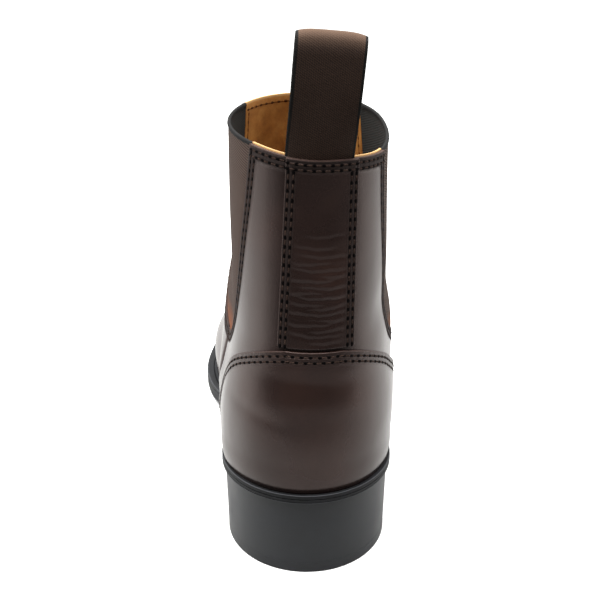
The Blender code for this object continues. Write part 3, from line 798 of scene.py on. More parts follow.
def polished_leather(name, stitch_rows, sewn_painted_shade):
    """Corrected-grain cowhide, dyed dark brown and polished: glossy, with faint grain and redder clouds.

    The leather is pressed in and puckered along the sewn rows, whose distances from the edge are given.
    The band they lie in and the closed seam's groove get painted shade by a share, and the band is duller;
    the pressed rows and the very edge get painted shade too, and the cut edge is lighter, partly its own
    colour and partly a painted highlight."""
    made, tree = new_material(name, ior=1.5, specular_tint=POLISH_TINT, coat_roughness=0.13)
    clouds = noise(tree, POLISH_PATCH, Detail=3.0)
    tint = ramp(tree, clouds, (0.3, LEATHER_DARK), (0.52, LEATHER_BROWN), (0.75, LEATHER_RED))
    polish = ranged(tree, clouds, 0.3, 0.7, 0.2, 0.27)
    edge = attribute(tree, "edge_mm")
    near = reckon(tree, "MULTIPLY", edge, 1 / EDGE_REACH)
    inmost = stitch_rows[-1]
    # Painted shade: the band of the sewn rows is darkened by a share, and so is the closed seam's groove
    # below the gore.
    band = ranged(tree, edge, inmost + 0.5, inmost + 1.5, sewn_painted_shade, 0.0)
    sewn_shade = reckon(tree, "MAXIMUM", band, attribute(tree, "seam"))
    heights = [(0.0, 0.35), (0.3 / EDGE_REACH, 0.8)]
    for row in stitch_rows:
        for aside, height in ((-PRESSED_HALF_WIDTH, 0.9), (0.0, 0.2), (PRESSED_HALF_WIDTH, 0.9)):
            heights.append(((row + aside) / EDGE_REACH, height))
    press_and_shade = ramp(tree, near, *heights)
    press_and_shade.node.color_ramp.interpolation = "EASE"
    # Painted shade: the pressed stitch rows and the very edge are darkened towards LEATHER_DARK, as well
    # as dented.
    shade = blend(tree, press_and_shade, LEATHER_DARK, blend(tree, sewn_shade, tint, SEWN_PAINTED_SHADE))
    # The cut edge is lightened over its last half millimetre: partly the raw edge's own colour, partly a
    # painted highlight.
    cut_edge_and_highlight = ramp(tree, near, (0.0, 0.5), (EDGE_LIGHT_WIDTH / EDGE_REACH, 0.0))
    grain = add_node(
        tree,
        "TexVoronoi",
        {"Vector": own_place(tree), "Scale": 1 / (GRAIN_SIZE * MM), "Smoothness": 0.6},
        feature="SMOOTH_F1",
    )
    waves = bumped(tree, noise(tree, PANEL_WAVE, Detail=1.0), 0.5, PANEL_WAVE_DEPTH)
    fine = bumped(tree, grain.outputs["Distance"], 0.3, GRAIN_DEPTH, waves)
    dents = bumped(tree, press_and_shade, 1.0, STITCH_DENT, fine)
    gathered = ranged(tree, edge, inmost, inmost + PUCKER_FADE, 1.0, 0.0)
    puckers = reckon(tree, "MULTIPLY", noise(tree, PUCKER_SIZE), gathered)
    set_shader(
        tree,
        base_color=blend(tree, cut_edge_and_highlight, shade, CUT_EDGE_AND_HIGHLIGHT),
        roughness=reckon(tree, "MULTIPLY_ADD", sewn_shade, SEWN_DULL, polish),
        coat_weight=reckon(tree, "MULTIPLY_ADD", sewn_shade, -SEWN_UNWAXED * COAT, COAT, use_clamp=True),
        normal=bumped(tree, puckers, 1.0, PUCKER_DEPTH, dents),
    )
    return made


def panel_places(start, end, columns, crowd=(0, 0)):
    """Places across a panel, from its start to its end at each level, crowded towards either end."""
    share = np.linspace(0, 1, columns)
    share = share - crowd[0] * share * (1 - share) ** 2 + crowd[1] * share**2 * (1 - share)
    return start + (end - start) * share


def seam_share(t, place):
    """How deep the leather lies in the closed seam below the gore, from 0 to 1."""
    t, place = np.broadcast_arrays(t, place)
    aside = last_point(t, place)[..., 0] - vamp_edge(t)
    below = 1 - smooth_step(t, seam_levels[-1] + SEAM_FADE, GORE_TIP_LEVEL)
    return below * np.exp(-((aside / SEAM_GROOVE_WIDTH) ** 2))


vamp_start = place_at(PANEL_LEVELS, vamp_edge(PANEL_LEVELS) - SEAM_LAP)
vamp_places = panel_places(-vamp_start, vamp_start - 2, VAMP_COLUMNS, VAMP_CROWD)
vamp_seam = seam_share(PANEL_LEVELS, vamp_places)
vamp_rows = on_last(PANEL_LEVELS, vamp_places, -SEAM_GROOVE_DEPTH * vamp_seam)
above_tip = PANEL_LEVELS[:, 0] >= GORE_TIP_LEVEL
vamp_sewn_edges = (vamp_rows[above_tip, 0], vamp_rows[-1], vamp_rows[above_tip, -1])
vamp_leather = polished_leather("polished_leather_vamp", STITCH_ROWS_VAMP, sewn_painted_shade=0.9)
vamp = cut_panel("vamp_leather", vamp_rows, vamp_sewn_edges, seam=vamp_seam)
dress(vamp, vamp_leather, "brown_leather", "upper")

# Quarters
# The two rear panels meet at the back seam and are cut away round the gores. Their edges along the
# gore and the collar are turned in and sewn with two rows of thread.
QUARTER_COLUMNS = 65
QUARTER_CROWD = 0.9
STITCH_ROWS_QUARTER = (1.9, 4.3)
SIDES = {"lateral": 1, "medial": -1}
TIP_CURVE = (SeamRow(6.10, 57.0), SeamRow(6.14, 53.5))
gore_rear = {
    1: curve_through(gore_levels, [row.rear_outer for row in GORE_ROWS]),
    -1: curve_through(gore_levels, [row.rear_inner for row in GORE_ROWS]),
}
quarter_edge, quarter_end = {}, {}
quarter_leather = polished_leather("polished_leather_quarter", STITCH_ROWS_QUARTER, sewn_painted_shade=0.9)
for side, sign in SIDES.items():
    quarter_edge[sign] = curve_through(
        seam_levels + [row.level for row in TIP_CURVE] + gore_levels,
        seam_stations + [row.station for row in TIP_CURVE] + list(gore_rear[sign](gore_levels)),
    )
    lap = SEAM_LAP * (PANEL_LEVELS < TIP_CURVE[0].level)
    quarter_end[sign] = sign * place_at(PANEL_LEVELS, quarter_edge[sign](PANEL_LEVELS) + lap)
    ends = (quarter_end[sign], 0 * quarter_end[sign])[::sign]
    places = panel_places(*ends, QUARTER_COLUMNS, (QUARTER_CROWD, 0)[::sign])
    seam = seam_share(PANEL_LEVELS, places)
    rows = on_last(PANEL_LEVELS, places, -SEAM_GROOVE_DEPTH * seam)
    gore_side = rows[:, 0 if sign > 0 else -1]
    sewn_edges = (gore_side[PANEL_LEVELS[:, 0] >= TIP_CURVE[0].level], rows[-1])
    quarter = cut_panel(f"quarter_{side}_leather", rows, sewn_edges, seam=seam)
    dress(quarter, quarter_leather, "brown_leather", "upper")

# Lining
# Tan calf lines the leather in a front and a back piece. Both are sewn through at the collar, where
# their cut edge stands a little above the leather, and both stop at the gores.
LINING_LIFT = -1.42
LINING_THICKNESS = 0.95
LINING_EDGE_ROUND = 0.2
LINING_PROUD = 0.6
LINING_CUT = "#cfa670"
LINING_CUT_RUN = (0.4, 1.3)

# The lining's cut edge at the collar shows the pale, unfinished middle of the hide.
edged_calf = lining_calf.copy()
edged_calf.name = "tan_lining_calf_cut_edge"
tree = edged_calf.node_tree
tanned = tree.nodes["Principled BSDF"].inputs["Base Color"].links[0].from_socket
pale = ranged(tree, attribute(tree, "edge_mm"), *LINING_CUT_RUN, 0.85, 0.0)
set_shader(tree, base_color=blend(tree, pale, tanned, LINING_CUT))

back_span = panel_places(quarter_end[1], quarter_end[-1], 2 * QUARTER_COLUMNS)
for name, places in (("lining_front", vamp_places), ("lining_back", back_span)):
    rows = on_last(PANEL_LEVELS, places, LINING_LIFT)
    rows[-1, :, 2] += LINING_PROUD
    lining = cut_panel(name, rows, (rows[-1],), LINING_THICKNESS, LINING_EDGE_ROUND)
    dress(lining, edged_calf, "tan_lining", "upper")

# Gores
# Each gore is a wedge of woven elastic, brown outside and black inside. Its edges are caught between
# the leather and the lining, and its top edge is bound with a dark tape.
GORE_TUCK = 1.4
GORE_LIFT = -1.36
GORE_BULGE_LOW = 0.95
GORE_BULGE_TOP = 0.3
GORE_SLACK_LEVEL = 7
GORE_EDGE_RUN = 2.5
GORE_THICKNESS = 0.8
GORE_COLUMNS = 33
GORE_LOW = GORE_TIP_LEVEL - 0.08
GORE_LEVELS = np.unique(
    np.concatenate((np.linspace(GORE_LOW, COLLAR, 64), np.linspace(GORE_LOW, 6.9, 16)))
)[:, None]
TWILL_PITCH = 1.1
TWILL_SLOPE = 0.28
TWILL_DEPTH = 0.2
CORD_PITCH = 1.0
CORD_SHARE = 0.35
ELASTIC_BROWN = "#281f1b"
ELASTIC_LIGHT = "#604e45"
ELASTIC_TIP = "#96552f"
ELASTIC_TIP_RUN = (1.0, 11.0)
ELASTIC_INSIDE = "#2f2f2d"
BINDING_WIDTH = 1.1
BINDING_INSET = 0.3
BINDING_COLUMNS = 25
BINDING_BLACK = "#0d0d0c"
BINDING_RIB = "#1c1b1a"
BINDING_RIB_SIZE = 0.7
BINDING_RIB_DEPTH = 0.1
BindingPoint = namedtuple("BindingPoint", "lift drop")
BINDING_SECTION = (
    BindingPoint(0.25, BINDING_WIDTH),
    BindingPoint(0.4, BINDING_WIDTH / 2),
    BindingPoint(0.3, 0.0),
    BindingPoint(0.0, -0.35),
    BindingPoint(-0.4, -0.45),
    BindingPoint(-0.8, -0.35),
    BindingPoint(-1.1, 0.0),
    BindingPoint(-1.15, BINDING_WIDTH),
)


def weave(tree, across, along, slope, pitch, cord_pitch, cord_share, span):
    """Slanting threads over upright cords, from 0 between the threads to 1 on top of them."""
    slant = ribs(tree, reckon(tree, "MULTIPLY_ADD", across, slope, along), pitch)
    threads = reckon(tree, "MULTIPLY_ADD", ribs(tree, across, cord_pitch), cord_share, slant)
    return ranged(tree, threads, -span, span)


# Woven elastic shows slanting twill lines over fine upright cords, with a dull, soft surface.
elastic, tree = new_material("brown_twill_elastic", roughness=0.85, specular_ior_level=0.2)
flat_at = flat_place(tree)
threads = weave(
    tree, flat_at["X"], flat_at["Y"], TWILL_SLOPE, TWILL_PITCH, CORD_PITCH, CORD_SHARE, span=1.3
)
woven = blend(tree, threads, ELASTIC_BROWN, ELASTIC_LIGHT)
tipped = blend(tree, ranged(tree, flat_at["Y"], *ELASTIC_TIP_RUN, 0.65, 0.0), woven, ELASTIC_TIP)
set_shader(
    tree,
    base_color=blend(tree, attribute(tree, "inner_face"), tipped, ELASTIC_INSIDE),
    normal=bumped(tree, threads, 0.6, TWILL_DEPTH),
)

# The binding is a narrow black tape with a fine rib.
binding_tape, tree = new_material("black_binding_tape", roughness=0.8, specular_ior_level=0.2)
rib = noise(tree, BINDING_RIB_SIZE)
set_shader(
    tree,
    base_color=ramp(tree, rib, (0.3, BINDING_BLACK), (0.7, BINDING_RIB)),
    normal=bumped(tree, rib, 0.4, BINDING_RIB_DEPTH),
)

gore_front = curve_through(gore_levels, [row.front for row in GORE_ROWS])
for side, sign in SIDES.items():
    front = sign * place_at(GORE_LEVELS, gore_front(GORE_LEVELS) + GORE_TUCK)
    rear = sign * place_at(GORE_LEVELS, gore_rear[sign](GORE_LEVELS) - GORE_TUCK)
    places = panel_places(*(front, rear)[::sign], GORE_COLUMNS)
    stations = last_point(*np.broadcast_arrays(GORE_LEVELS, places))[..., 0]
    inward = np.minimum(gore_front(GORE_LEVELS) - stations, stations - gore_rear[sign](GORE_LEVELS))
    taut = smooth_step(GORE_LEVELS, GORE_SLACK_LEVEL, COLLAR)
    bulge = GORE_BULGE_LOW + (GORE_BULGE_TOP - GORE_BULGE_LOW) * taut
    rows = on_last(GORE_LEVELS, places, GORE_LIFT + bulge * smooth_step(inward, 0, GORE_EDGE_RUN))
    flat = np.stack((-rows[..., 0] * sign, rows[..., 2] - rows[0, :, 2].min()), axis=-1)
    gore = close_seams(loft(f"gore_{side}_elastic", rows, flat))
    thicken(gore, GORE_THICKNESS)
    mark(gore, "inner_face", np.arange(len(gore.data.vertices)) >= places.size)
    bpy.ops.object.shade_smooth_by_angle(angle=math.radians(50))
    dress(gore, elastic, "brown_elastic", f"gore_{side}")
    bound_front = sign * place_at(COLLAR, gore_front(COLLAR) - BINDING_INSET)
    bound_rear = sign * place_at(COLLAR, gore_rear[sign](COLLAR) + BINDING_INSET)
    turns = np.linspace(*(bound_front, bound_rear)[::sign], BINDING_COLUMNS)
    swell = GORE_BULGE_TOP * np.sin(np.linspace(0, np.pi, BINDING_COLUMNS)) ** 0.3
    bind_rows = [
        on_last(COLLAR, turns, GORE_LIFT + swell + point.lift) - (0, 0, point.drop)
        for point in BINDING_SECTION
    ]
    binding = close_seams(loft(f"gore_{side}_binding", [*bind_rows, bind_rows[0]]))
    bpy.ops.object.shade_smooth_by_angle(angle=math.radians(70))
    dress(binding, binding_tape, "brown_elastic", f"gore_{side}")

# Counter
# A panel of the same leather is laid over the heel and lasted in under the sole. Its upper edge is
# skived, turned and sewn down with two rows of thread.
CounterRow = namedtuple("CounterRow", "level reach_outer reach_inner")
COUNTER_ROWS = (
    CounterRow(0.05, 72.0, 83.0),
    CounterRow(1.7, 58.5, 72.5),
    CounterRow(3.2, 47.0, 59.5),
    CounterRow(4.6, 41.0, 46.5),
    CounterRow(5.5, 33.0, 33.5),
    CounterRow(6.0, 26.0, 26.0),
    CounterRow(6.4, 18.5, 18.5),
    CounterRow(6.7, 12.0, 12.0),
    CounterRow(6.92, 6.5, 6.5),
)
OVERLAY_LIFT = 1.6
OVERLAY_THICKNESS = 1.5
COUNTER_FULL = 1.6
COUNTER_FULL_LEVELS = (0, 1.8)
COUNTER_SKIVE = 0.9
SKIVE_OUTER = (30, 44)
SKIVE_INNER = (46, 68)
COUNTER_STEPS = 72
COUNTER_COLUMNS = 121
COUNTER_EDGE_ROUND = 0.45
STITCH_ROWS_COUNTER = (2.0, 4.2)


def counter_lift(t, place):
    """The counter is fuller where it is lasted in at the sole, and skived thin towards its front ends."""
    t, place = np.broadcast_arrays(t, place)
    station = last_point(t, place)[..., 0]
    skive = (np.where(place > 0, outer, inner) for outer, inner in zip(SKIVE_OUTER, SKIVE_INNER))
    full = COUNTER_FULL * (1 - smooth_step(t, *COUNTER_FULL_LEVELS))
    return OVERLAY_LIFT - COUNTER_SKIVE * smooth_step(station, *skive) + full


counter_reach = curve_through([row.level for row in COUNTER_ROWS], [row[1:] for row in COUNTER_ROWS])
counter_low, counter_top = COUNTER_ROWS[0].level, COUNTER_ROWS[-1].level
counter_rise = np.sin(np.linspace(0, np.pi / 2, COUNTER_STEPS))[:, None]
counter_levels = counter_low + (counter_top - counter_low) * counter_rise
counter_ends = place_at(counter_levels, counter_reach(counter_levels[:, 0]))
counter_places = panel_places(counter_ends[:, :1], -counter_ends[:, 1:], COUNTER_COLUMNS)
counter_rows = on_last(counter_levels, counter_places, counter_lift(counter_levels, counter_places))
counter_border = np.concatenate((counter_rows[:, 0], counter_rows[-1], counter_rows[::-1, -1]))
counter = cut_panel(
    "counter_leather", counter_rows, (counter_border,), OVERLAY_THICKNESS, COUNTER_EDGE_ROUND
)
counter_leather = polished_leather("polished_leather_counter", STITCH_ROWS_COUNTER, sewn_painted_shade=0.25)
dress(counter, counter_leather, "brown_leather", "counter")

# Backstay
# A strap of softer leather covers the back seam from the counter to the collar. It is sewn down with
# two rows along each side and across the top, and wrinkles where the ankle bends.
BACKSTAY_LOW_EDGES = (-16.4, 14.6)
BACKSTAY_TOP_EDGES = (-15.4, 12.6)
BACKSTAY_LOW_LEVEL = 7.04
BACKSTAY_COLUMNS = 49
STITCH_ROWS_BACKSTAY = (1.3, 3.4)
BACKSTAY_LEVELS = np.linspace(BACKSTAY_LOW_LEVEL, COLLAR, 190)[:, None]
Wrinkle = namedtuple("Wrinkle", "height side half_length tilt depth")
WRINKLES = (
    Wrinkle(1.6, -3.0, 6.0, 0.03, 0.10),
    Wrinkle(4.3, 1.0, 8.0, 0.05, 0.17),
    Wrinkle(6.4, -4.0, 6.0, -0.05, 0.14),
    Wrinkle(8.7, 2.5, 8.5, -0.03, 0.22),
    Wrinkle(10.6, -3.5, 6.5, 0.08, 0.16),
    Wrinkle(13.0, 0.5, 9.5, 0.02, 0.26),
    Wrinkle(15.3, -2.5, 7.0, -0.06, 0.20),
    Wrinkle(16.9, 4.0, 5.5, 0.05, 0.18),
    Wrinkle(19.4, -0.5, 9.5, 0.03, 0.30),
    Wrinkle(21.5, 3.5, 6.5, -0.07, 0.20),
    Wrinkle(23.4, -2.0, 8.0, 0.04, 0.26),
    Wrinkle(26.1, 1.5, 9.0, -0.02, 0.28),
    Wrinkle(28.0, -4.5, 5.0, 0.08, 0.16),
    Wrinkle(30.3, 0.5, 9.0, 0.04, 0.24),
    Wrinkle(32.9, 3.0, 6.5, -0.05, 0.17),
    Wrinkle(35.6, -2.0, 8.0, 0.03, 0.18),
    Wrinkle(39.0, 2.0, 7.0, 0.05, 0.12),
    Wrinkle(43.5, -1.5, 7.0, -0.04, 0.09),
)
WRINKLE_HALF_WIDTH = 0.75
WRINKLE_TROUGH = 0.95
WRINKLE_RIDGE = 0.3
RIDGE_ABOVE = 1.5
WRINKLE_BOW = 0.008
Ripple = namedtuple("Ripple", "height pace shift")
RIPPLES = (Ripple(0.18, 0.55, 2.4), Ripple(0.1, 1.3, -1.0))
BACKSTAY_EDGE_ROUND = 0.35


def place_at_girth(t, girth):
    """The place that lies a tape-measured distance round from the back seam."""
    side = 1 if girth >= 0 else -1
    samples = np.linspace(0, 0.5, 161)
    run = tape(last_point(np.full(len(samples), t), side * samples))
    return side * np.interp(abs(girth), run, samples)


backstay_share = (BACKSTAY_LEVELS - BACKSTAY_LOW_LEVEL) / (COLLAR - BACKSTAY_LOW_LEVEL)
backstay_places = []
for level, share in zip(BACKSTAY_LEVELS[:, 0], backstay_share[:, 0]):
    inner_edge, outer_edge = (
        low + (top - low) * share for low, top in zip(BACKSTAY_LOW_EDGES, BACKSTAY_TOP_EDGES)
    )
    ends = place_at_girth(level, outer_edge), place_at_girth(level, inner_edge)
    backstay_places.append(np.linspace(*ends, BACKSTAY_COLUMNS))
backstay_places = np.array(backstay_places)
backstay_flat = last_point(np.broadcast_to(BACKSTAY_LEVELS, backstay_places.shape), backstay_places)
backstay_height = backstay_flat[..., 2] - backstay_flat[0, BACKSTAY_COLUMNS // 2, 2]
backstay_side = backstay_flat[..., 1] - backstay_flat[:, BACKSTAY_COLUMNS // 2, 1][:, None]
creases = np.zeros(backstay_places.shape)
for wrinkle in WRINKLES:
    aside = backstay_side - wrinkle.side
    wander = sum(r.height * np.sin(r.pace * aside + r.shift * wrinkle.height) for r in RIPPLES)
    above = backstay_height - wrinkle.height - wrinkle.tilt * aside - WRINKLE_BOW * aside**2 - wander
    reach = wrinkle.depth * np.exp(-((aside / wrinkle.half_length) ** 4))
    for share, rise in ((-WRINKLE_TROUGH, 0.0), (WRINKLE_RIDGE, RIDGE_ABOVE)):
        creases += share * reach * np.exp(-(((above - rise) / WRINKLE_HALF_WIDTH) ** 2))
backstay_rows = on_last(BACKSTAY_LEVELS, backstay_places, OVERLAY_LIFT + creases)
backstay_edges = (backstay_rows[:, 0], backstay_rows[-1], backstay_rows[:, -1])
backstay = cut_panel(
    "backstay_leather", backstay_rows, backstay_edges, OVERLAY_THICKNESS, BACKSTAY_EDGE_ROUND
)
backstay_leather = polished_leather("polished_leather_backstay", STITCH_ROWS_BACKSTAY, sewn_painted_shade=0.85)
dress(backstay, backstay_leather, "brown_leather", "backstay")

# Stitching
# Waxed polyester thread holds the panels in rows of short lock stitches. At both ends of each stitch a
# flat dark disc sits on the needle hole, painted shade that shows as a dark dot between one stitch and the
# next.
STITCH_PITCH = 3.6
STITCH_LENGTH = 2.5
THREAD_WIDTH = 0.7
THREAD_HEIGHT = 0.4
HOLE_LENGTH = 2.1
HOLE_WIDTH = 1.2
HOLE_HEIGHT = 0.16
THREAD_DARK = "#2b201c"
THREAD_LIGHT = "#4e3e37"
LINING_THREAD_DARK = "#5f3d1d"
LINING_THREAD_LIGHT = "#8a5c2e"
HOLE_SHADE_BLACK = "#060404"
HOLE_SHADE_BROWN = "#4b2c13"
STITCH_LIFT = 0.05
LINING_ROW = 3.0
THREAD_PLY = 0.6
THREAD_DEPTH = 0.1


def waxed_thread(name, dark, light, hole_shade_colour):
    """Waxed and twisted polyester thread: a faint shine on its plies, and near black on the discs painted
    as the shade of the needle holes.
    """
    made, tree = new_material(name, roughness=0.8, specular_ior_level=0.05)
    twist = noise(tree, THREAD_PLY)
    tint = ramp(tree, twist, (0.35, dark), (0.7, light))
    set_shader(
        tree,
        base_color=blend(tree, attribute(tree, "hole_shade"), tint, hole_shade_colour),
        normal=bumped(tree, twist, 0.3, THREAD_DEPTH),
    )
    return made


bpy.ops.object.select_all(action="DESELECT")
bpy.ops.mesh.primitive_uv_sphere_add(segments=6, ring_count=5, radius=0.5, rotation=(0, math.pi / 2, 0))
bpy.ops.object.transform_apply(rotation=True)
bead_mesh = bpy.context.object.data
bead_points = np.array([v.co for v in bead_mesh.vertices])
bead_faces = [tuple(p.vertices) for p in bead_mesh.polygons]
bpy.data.objects.remove(bpy.context.object)


def beside(t, place, distance):
    """Levels and places of a line drawn at a distance beside a line on the last.

    Seen from outside, a positive distance lies to the left of the line's direction."""
    t, place = np.array(t, float), np.array(place, float)
    start = last_point(t, place)
    run = np.gradient(start, axis=0)
    run /= np.linalg.norm(run, axis=1, keepdims=True)
    goal = start + np.cross(last_normal(t, place), run) * distance
    for _ in range(3):
        upward, around = last_slopes(t, place)
        miss = goal - last_point(t, place)
        uu, aa = np.sum(upward * upward, axis=1), np.sum(around * around, axis=1)
        ua = np.sum(upward * around, axis=1)
        um, am = np.sum(upward * miss, axis=1), np.sum(around * miss, axis=1)
        spread = uu * aa - ua * ua
        t = np.clip(t + (aa * um - ua * am) / spread, 0, COLLAR)
        place = place + (uu * am - ua * um) / spread
    return t, place


def sew(name, lines, lift):
    """Rows of stitches along lines of levels and places, with dark discs painted as the shade of the
    needle holes between, as one piece.
    """
    points, faces, hole_shade_flags = [], [], []
    for t, place in lines:
        path = on_last(t, place, lift(t, place) if callable(lift) else lift)
        run = tape(path)
        count = max(2, int(round(run[-1] / STITCH_PITCH)))
        ends = np.linspace(0, run[-1], count + 1)
        middles = (ends[1:] + ends[:-1]) / 2
        stitches = [(at, STITCH_LENGTH, THREAD_WIDTH, THREAD_HEIGHT, 0) for at in middles]
        # Each needle hole is a flat dark disc coloured as painted shade.
        hole_shade_discs = [(at, HOLE_LENGTH, HOLE_WIDTH, HOLE_HEIGHT, 1) for at in ends]
        for at, length, width, height, hole_shade in stitches + hole_shade_discs:
            before, centre, after = (
                np.array([np.interp(at + step, run, path[:, axis]) for axis in range(3)])
                for step in (-0.5, 0.0, 0.5)
            )
            along = (after - before) / np.linalg.norm(after - before)
            out = last_normal(np.interp(at, run, t), np.interp(at, run, place))
            axes = np.array((along * length, np.cross(out, along) * width, out * height))
            start = len(points)
            points += list(bead_points @ axes + centre - (HEEL_REST_STATION, 0, 0))
            faces += [tuple(start + corner for corner in face) for face in bead_faces]
            hole_shade_flags += [hole_shade] * len(bead_points)
    mesh = bpy.data.meshes.new(name)
    mesh.from_pydata([tuple(point * MM) for point in points], [], faces)
    mesh.shade_smooth()
    piece = bpy.data.objects.new(name, mesh)
    mark(piece, "hole_shade", hole_shade_flags)
    bpy.context.scene.collection.objects.link(piece)
    return piece


def trimmed(line, start, end):
    """A line without its first and last millimetres."""
    t, place = line
    run = tape(last_point(t, place))
    keep = (run >= start) & (run <= run[-1] - end)
    return t[keep], place[keep]


fine_levels = np.linspace(COLLAR, GORE_TIP_LEVEL, 260)
tip_levels = np.concatenate((fine_levels, np.linspace(GORE_TIP_LEVEL, TIP_CURVE[0].level, 12)[1:]))
collar_front = place_at(COLLAR, gore_front(COLLAR))
collar_turn = np.linspace(collar_front, 2 - collar_front, 160)


def front_seams(row):
    """Lines at a distance inside the vamp's edges, along the collar and down both gores."""
    rim = np.full(len(collar_turn), COLLAR), collar_turn
    lines = [trimmed(beside(*rim, row), start=1.5, end=1.5)]
    for sign in SIDES.values():
        edge = fine_levels, sign * place_at(fine_levels, gore_front(fine_levels))
        lines.append(trimmed(beside(*edge, -sign * row), start=row + 1.4, end=1.0))
    return lines


def rear_seams(row):
    """Lines at a distance inside the quarters' edges, down both gores and along the collar."""
    lines = []
    for sign in SIDES.values():
        edge = tip_levels, sign * place_at(tip_levels, quarter_edge[sign](tip_levels))
        lines.append(trimmed(beside(*edge, sign * row), start=row + 1.2, end=0.2))
        rim_start = abs(place_at_girth(COLLAR, BACKSTAY_TOP_EDGES[1 if sign > 0 else 0]))
        rim = sign * np.linspace(rim_start, place_at(COLLAR, gore_rear[sign](COLLAR)), 60)
        lines.append(trimmed(beside(np.full(len(rim), COLLAR), rim, sign * row), start=0.3, end=1.2))
    return lines


vamp_lines = [line for row in STITCH_ROWS_VAMP for line in front_seams(row)]
quarter_lines = [line for row in STITCH_ROWS_QUARTER for line in rear_seams(row)]
counter_edge = np.stack(np.broadcast_arrays(counter_levels, counter_places), axis=-1)
counter_edge = np.concatenate((counter_edge[:, 0], counter_edge[-1], counter_edge[::-1, -1]))
counter_lines = [beside(*counter_edge.T, -row) for row in STITCH_ROWS_COUNTER]
backstay_lines = []
for row in STITCH_ROWS_BACKSTAY:
    for sign, column in ((1, 0), (-1, -1)):
        side_line = BACKSTAY_LEVELS[::-1, 0], backstay_places[::-1, column]
        backstay_lines.append(trimmed(beside(*side_line, sign * row), start=5.0, end=0.5))
    top_line = np.full(BACKSTAY_COLUMNS, COLLAR), backstay_places[-1]
    backstay_lines.append(trimmed(beside(*top_line, -row - 0.6), start=1.0, end=1.0))
lining_face = LINING_LIFT - LINING_THICKNESS
dark_thread = waxed_thread("waxed_dark_thread", THREAD_DARK, THREAD_LIGHT, HOLE_SHADE_BLACK)
tan_thread = waxed_thread("waxed_tan_thread", LINING_THREAD_DARK, LINING_THREAD_LIGHT, HOLE_SHADE_BROWN)
Seam = namedtuple("Seam", "name lines lift thread slot node")
for seam in (
    Seam("vamp", vamp_lines, STITCH_LIFT, dark_thread, "brown_leather", "upper"),
    Seam("quarter", quarter_lines, STITCH_LIFT, dark_thread, "brown_leather", "upper"),
    Seam("lining_front", front_seams(LINING_ROW), lining_face, tan_thread, "tan_lining", "upper"),
    Seam("lining_back", rear_seams(LINING_ROW), lining_face, tan_thread, "tan_lining", "upper"),
    Seam("counter", counter_lines, counter_lift, dark_thread, "brown_leather", "counter"),
    Seam("backstay", backstay_lines, OVERLAY_LIFT + STITCH_LIFT, dark_thread, "brown_leather", "backstay"),
):
    dress(sew(f"{seam.name}_stitches", seam.lines, seam.lift), seam.thread, seam.slot, seam.node)

# Pull loop
# A length of dark brown twill webbing with black edges is folded double and sewn in behind the back
# strap. It stands up stiffly, opens into a loop and leans a little to the inner side.
LoopPoint = namedtuple("LoopPoint", "forward height")
LOOP_POINTS = (
    LoopPoint(0.9, -8.0),
    LoopPoint(1.0, 0.5),
    LoopPoint(2.4, 10.5),
    LoopPoint(4.2, 21.0),
    LoopPoint(5.5, 31.5),
    LoopPoint(5.6, 39.0),
    LoopPoint(3.6, 44.4),
    LoopPoint(0.2, 46.2),
    LoopPoint(-3.2, 44.2),
    LoopPoint(-4.8, 38.5),
    LoopPoint(-4.6, 30.5),
    LoopPoint(-3.6, 20.0),
    LoopPoint(-2.2, 10.0),
    LoopPoint(-0.6, 0.5),
    LoopPoint(-0.2, -8.0),
)
LOOP_WIDTH = 26.0
LOOP_THICKNESS = 1.3
LOOP_SIDE_LEAN = -4.0
LOOP_ROLL = 1.1
LOOP_BOW = 1.3
LOOP_FLAT_HEIGHT = 26.0
LOOP_SAMPLES = 121
LOOP_COLUMNS = 33
LOOP_SEAM_LIFT = -1.2
LOOP_EDGE_ROUND = 0.35
WEB_PITCH = 0.85
WEB_SLOPE = 0.6
WEB_DEPTH = 0.18
PICK_PITCH = 0.8
PICK_SHARE = 0.5
SPUN_PER_MM = 0.7
WEB_EDGE = 1.1
WEB_EDGE_FADE = 0.15
WEB_FOLD_AT = 56.0
WEB_FOLD_RUN = (1.5, 9.0)
WEB_BROWN = "#221915"
WEB_LIGHT = "#402f25"
WEB_FOLD_PAINTED_LIGHT = "#8a6d58"
WEB_BLACK = "#12110f"

# Webbing of spun polyester is matt, with slanting threads, a paler band of painted light at the top fold,
# and a plain black selvedge.
webbing, tree = new_material("brown_twill_webbing", roughness=0.85, specular_ior_level=0.2)
flat_at = flat_place(tree)
flat_map = add_node(tree, "UVMap", uv_map="UVMap").outputs["UV"]
spun = add_node(tree, "TexNoise", {"Vector": flat_map, "Scale": SPUN_PER_MM, "Detail": 3.0})
uneven = reckon(tree, "ADD", spun.outputs["Fac"], flat_at["Y"])
threads = weave(tree, flat_at["X"], uneven, WEB_SLOPE, WEB_PITCH, PICK_PITCH, PICK_SHARE, span=1.4)
from_fold = reckon(tree, "ABSOLUTE", reckon(tree, "SUBTRACT", flat_at["Y"], WEB_FOLD_AT))
woven = blend(tree, threads, WEB_BROWN, WEB_LIGHT)
# Painted light: the webbing is paler near the top fold, where light from above falls on it.
fold_painted_light = blend(tree, ranged(tree, from_fold, *WEB_FOLD_RUN, 0.38, 0.0), woven, WEB_FOLD_PAINTED_LIGHT)
edge_at = LOOP_WIDTH / 2 - WEB_EDGE
from_middle = reckon(tree, "ABSOLUTE", flat_at["X"])
selvedge = ranged(tree, from_middle, edge_at - WEB_EDGE_FADE, edge_at + WEB_EDGE_FADE)
set_shader(
    tree,
    base_color=blend(tree, selvedge, fold_painted_light, WEB_BLACK),
    normal=bumped(tree, threads, 0.5, WEB_DEPTH),
)

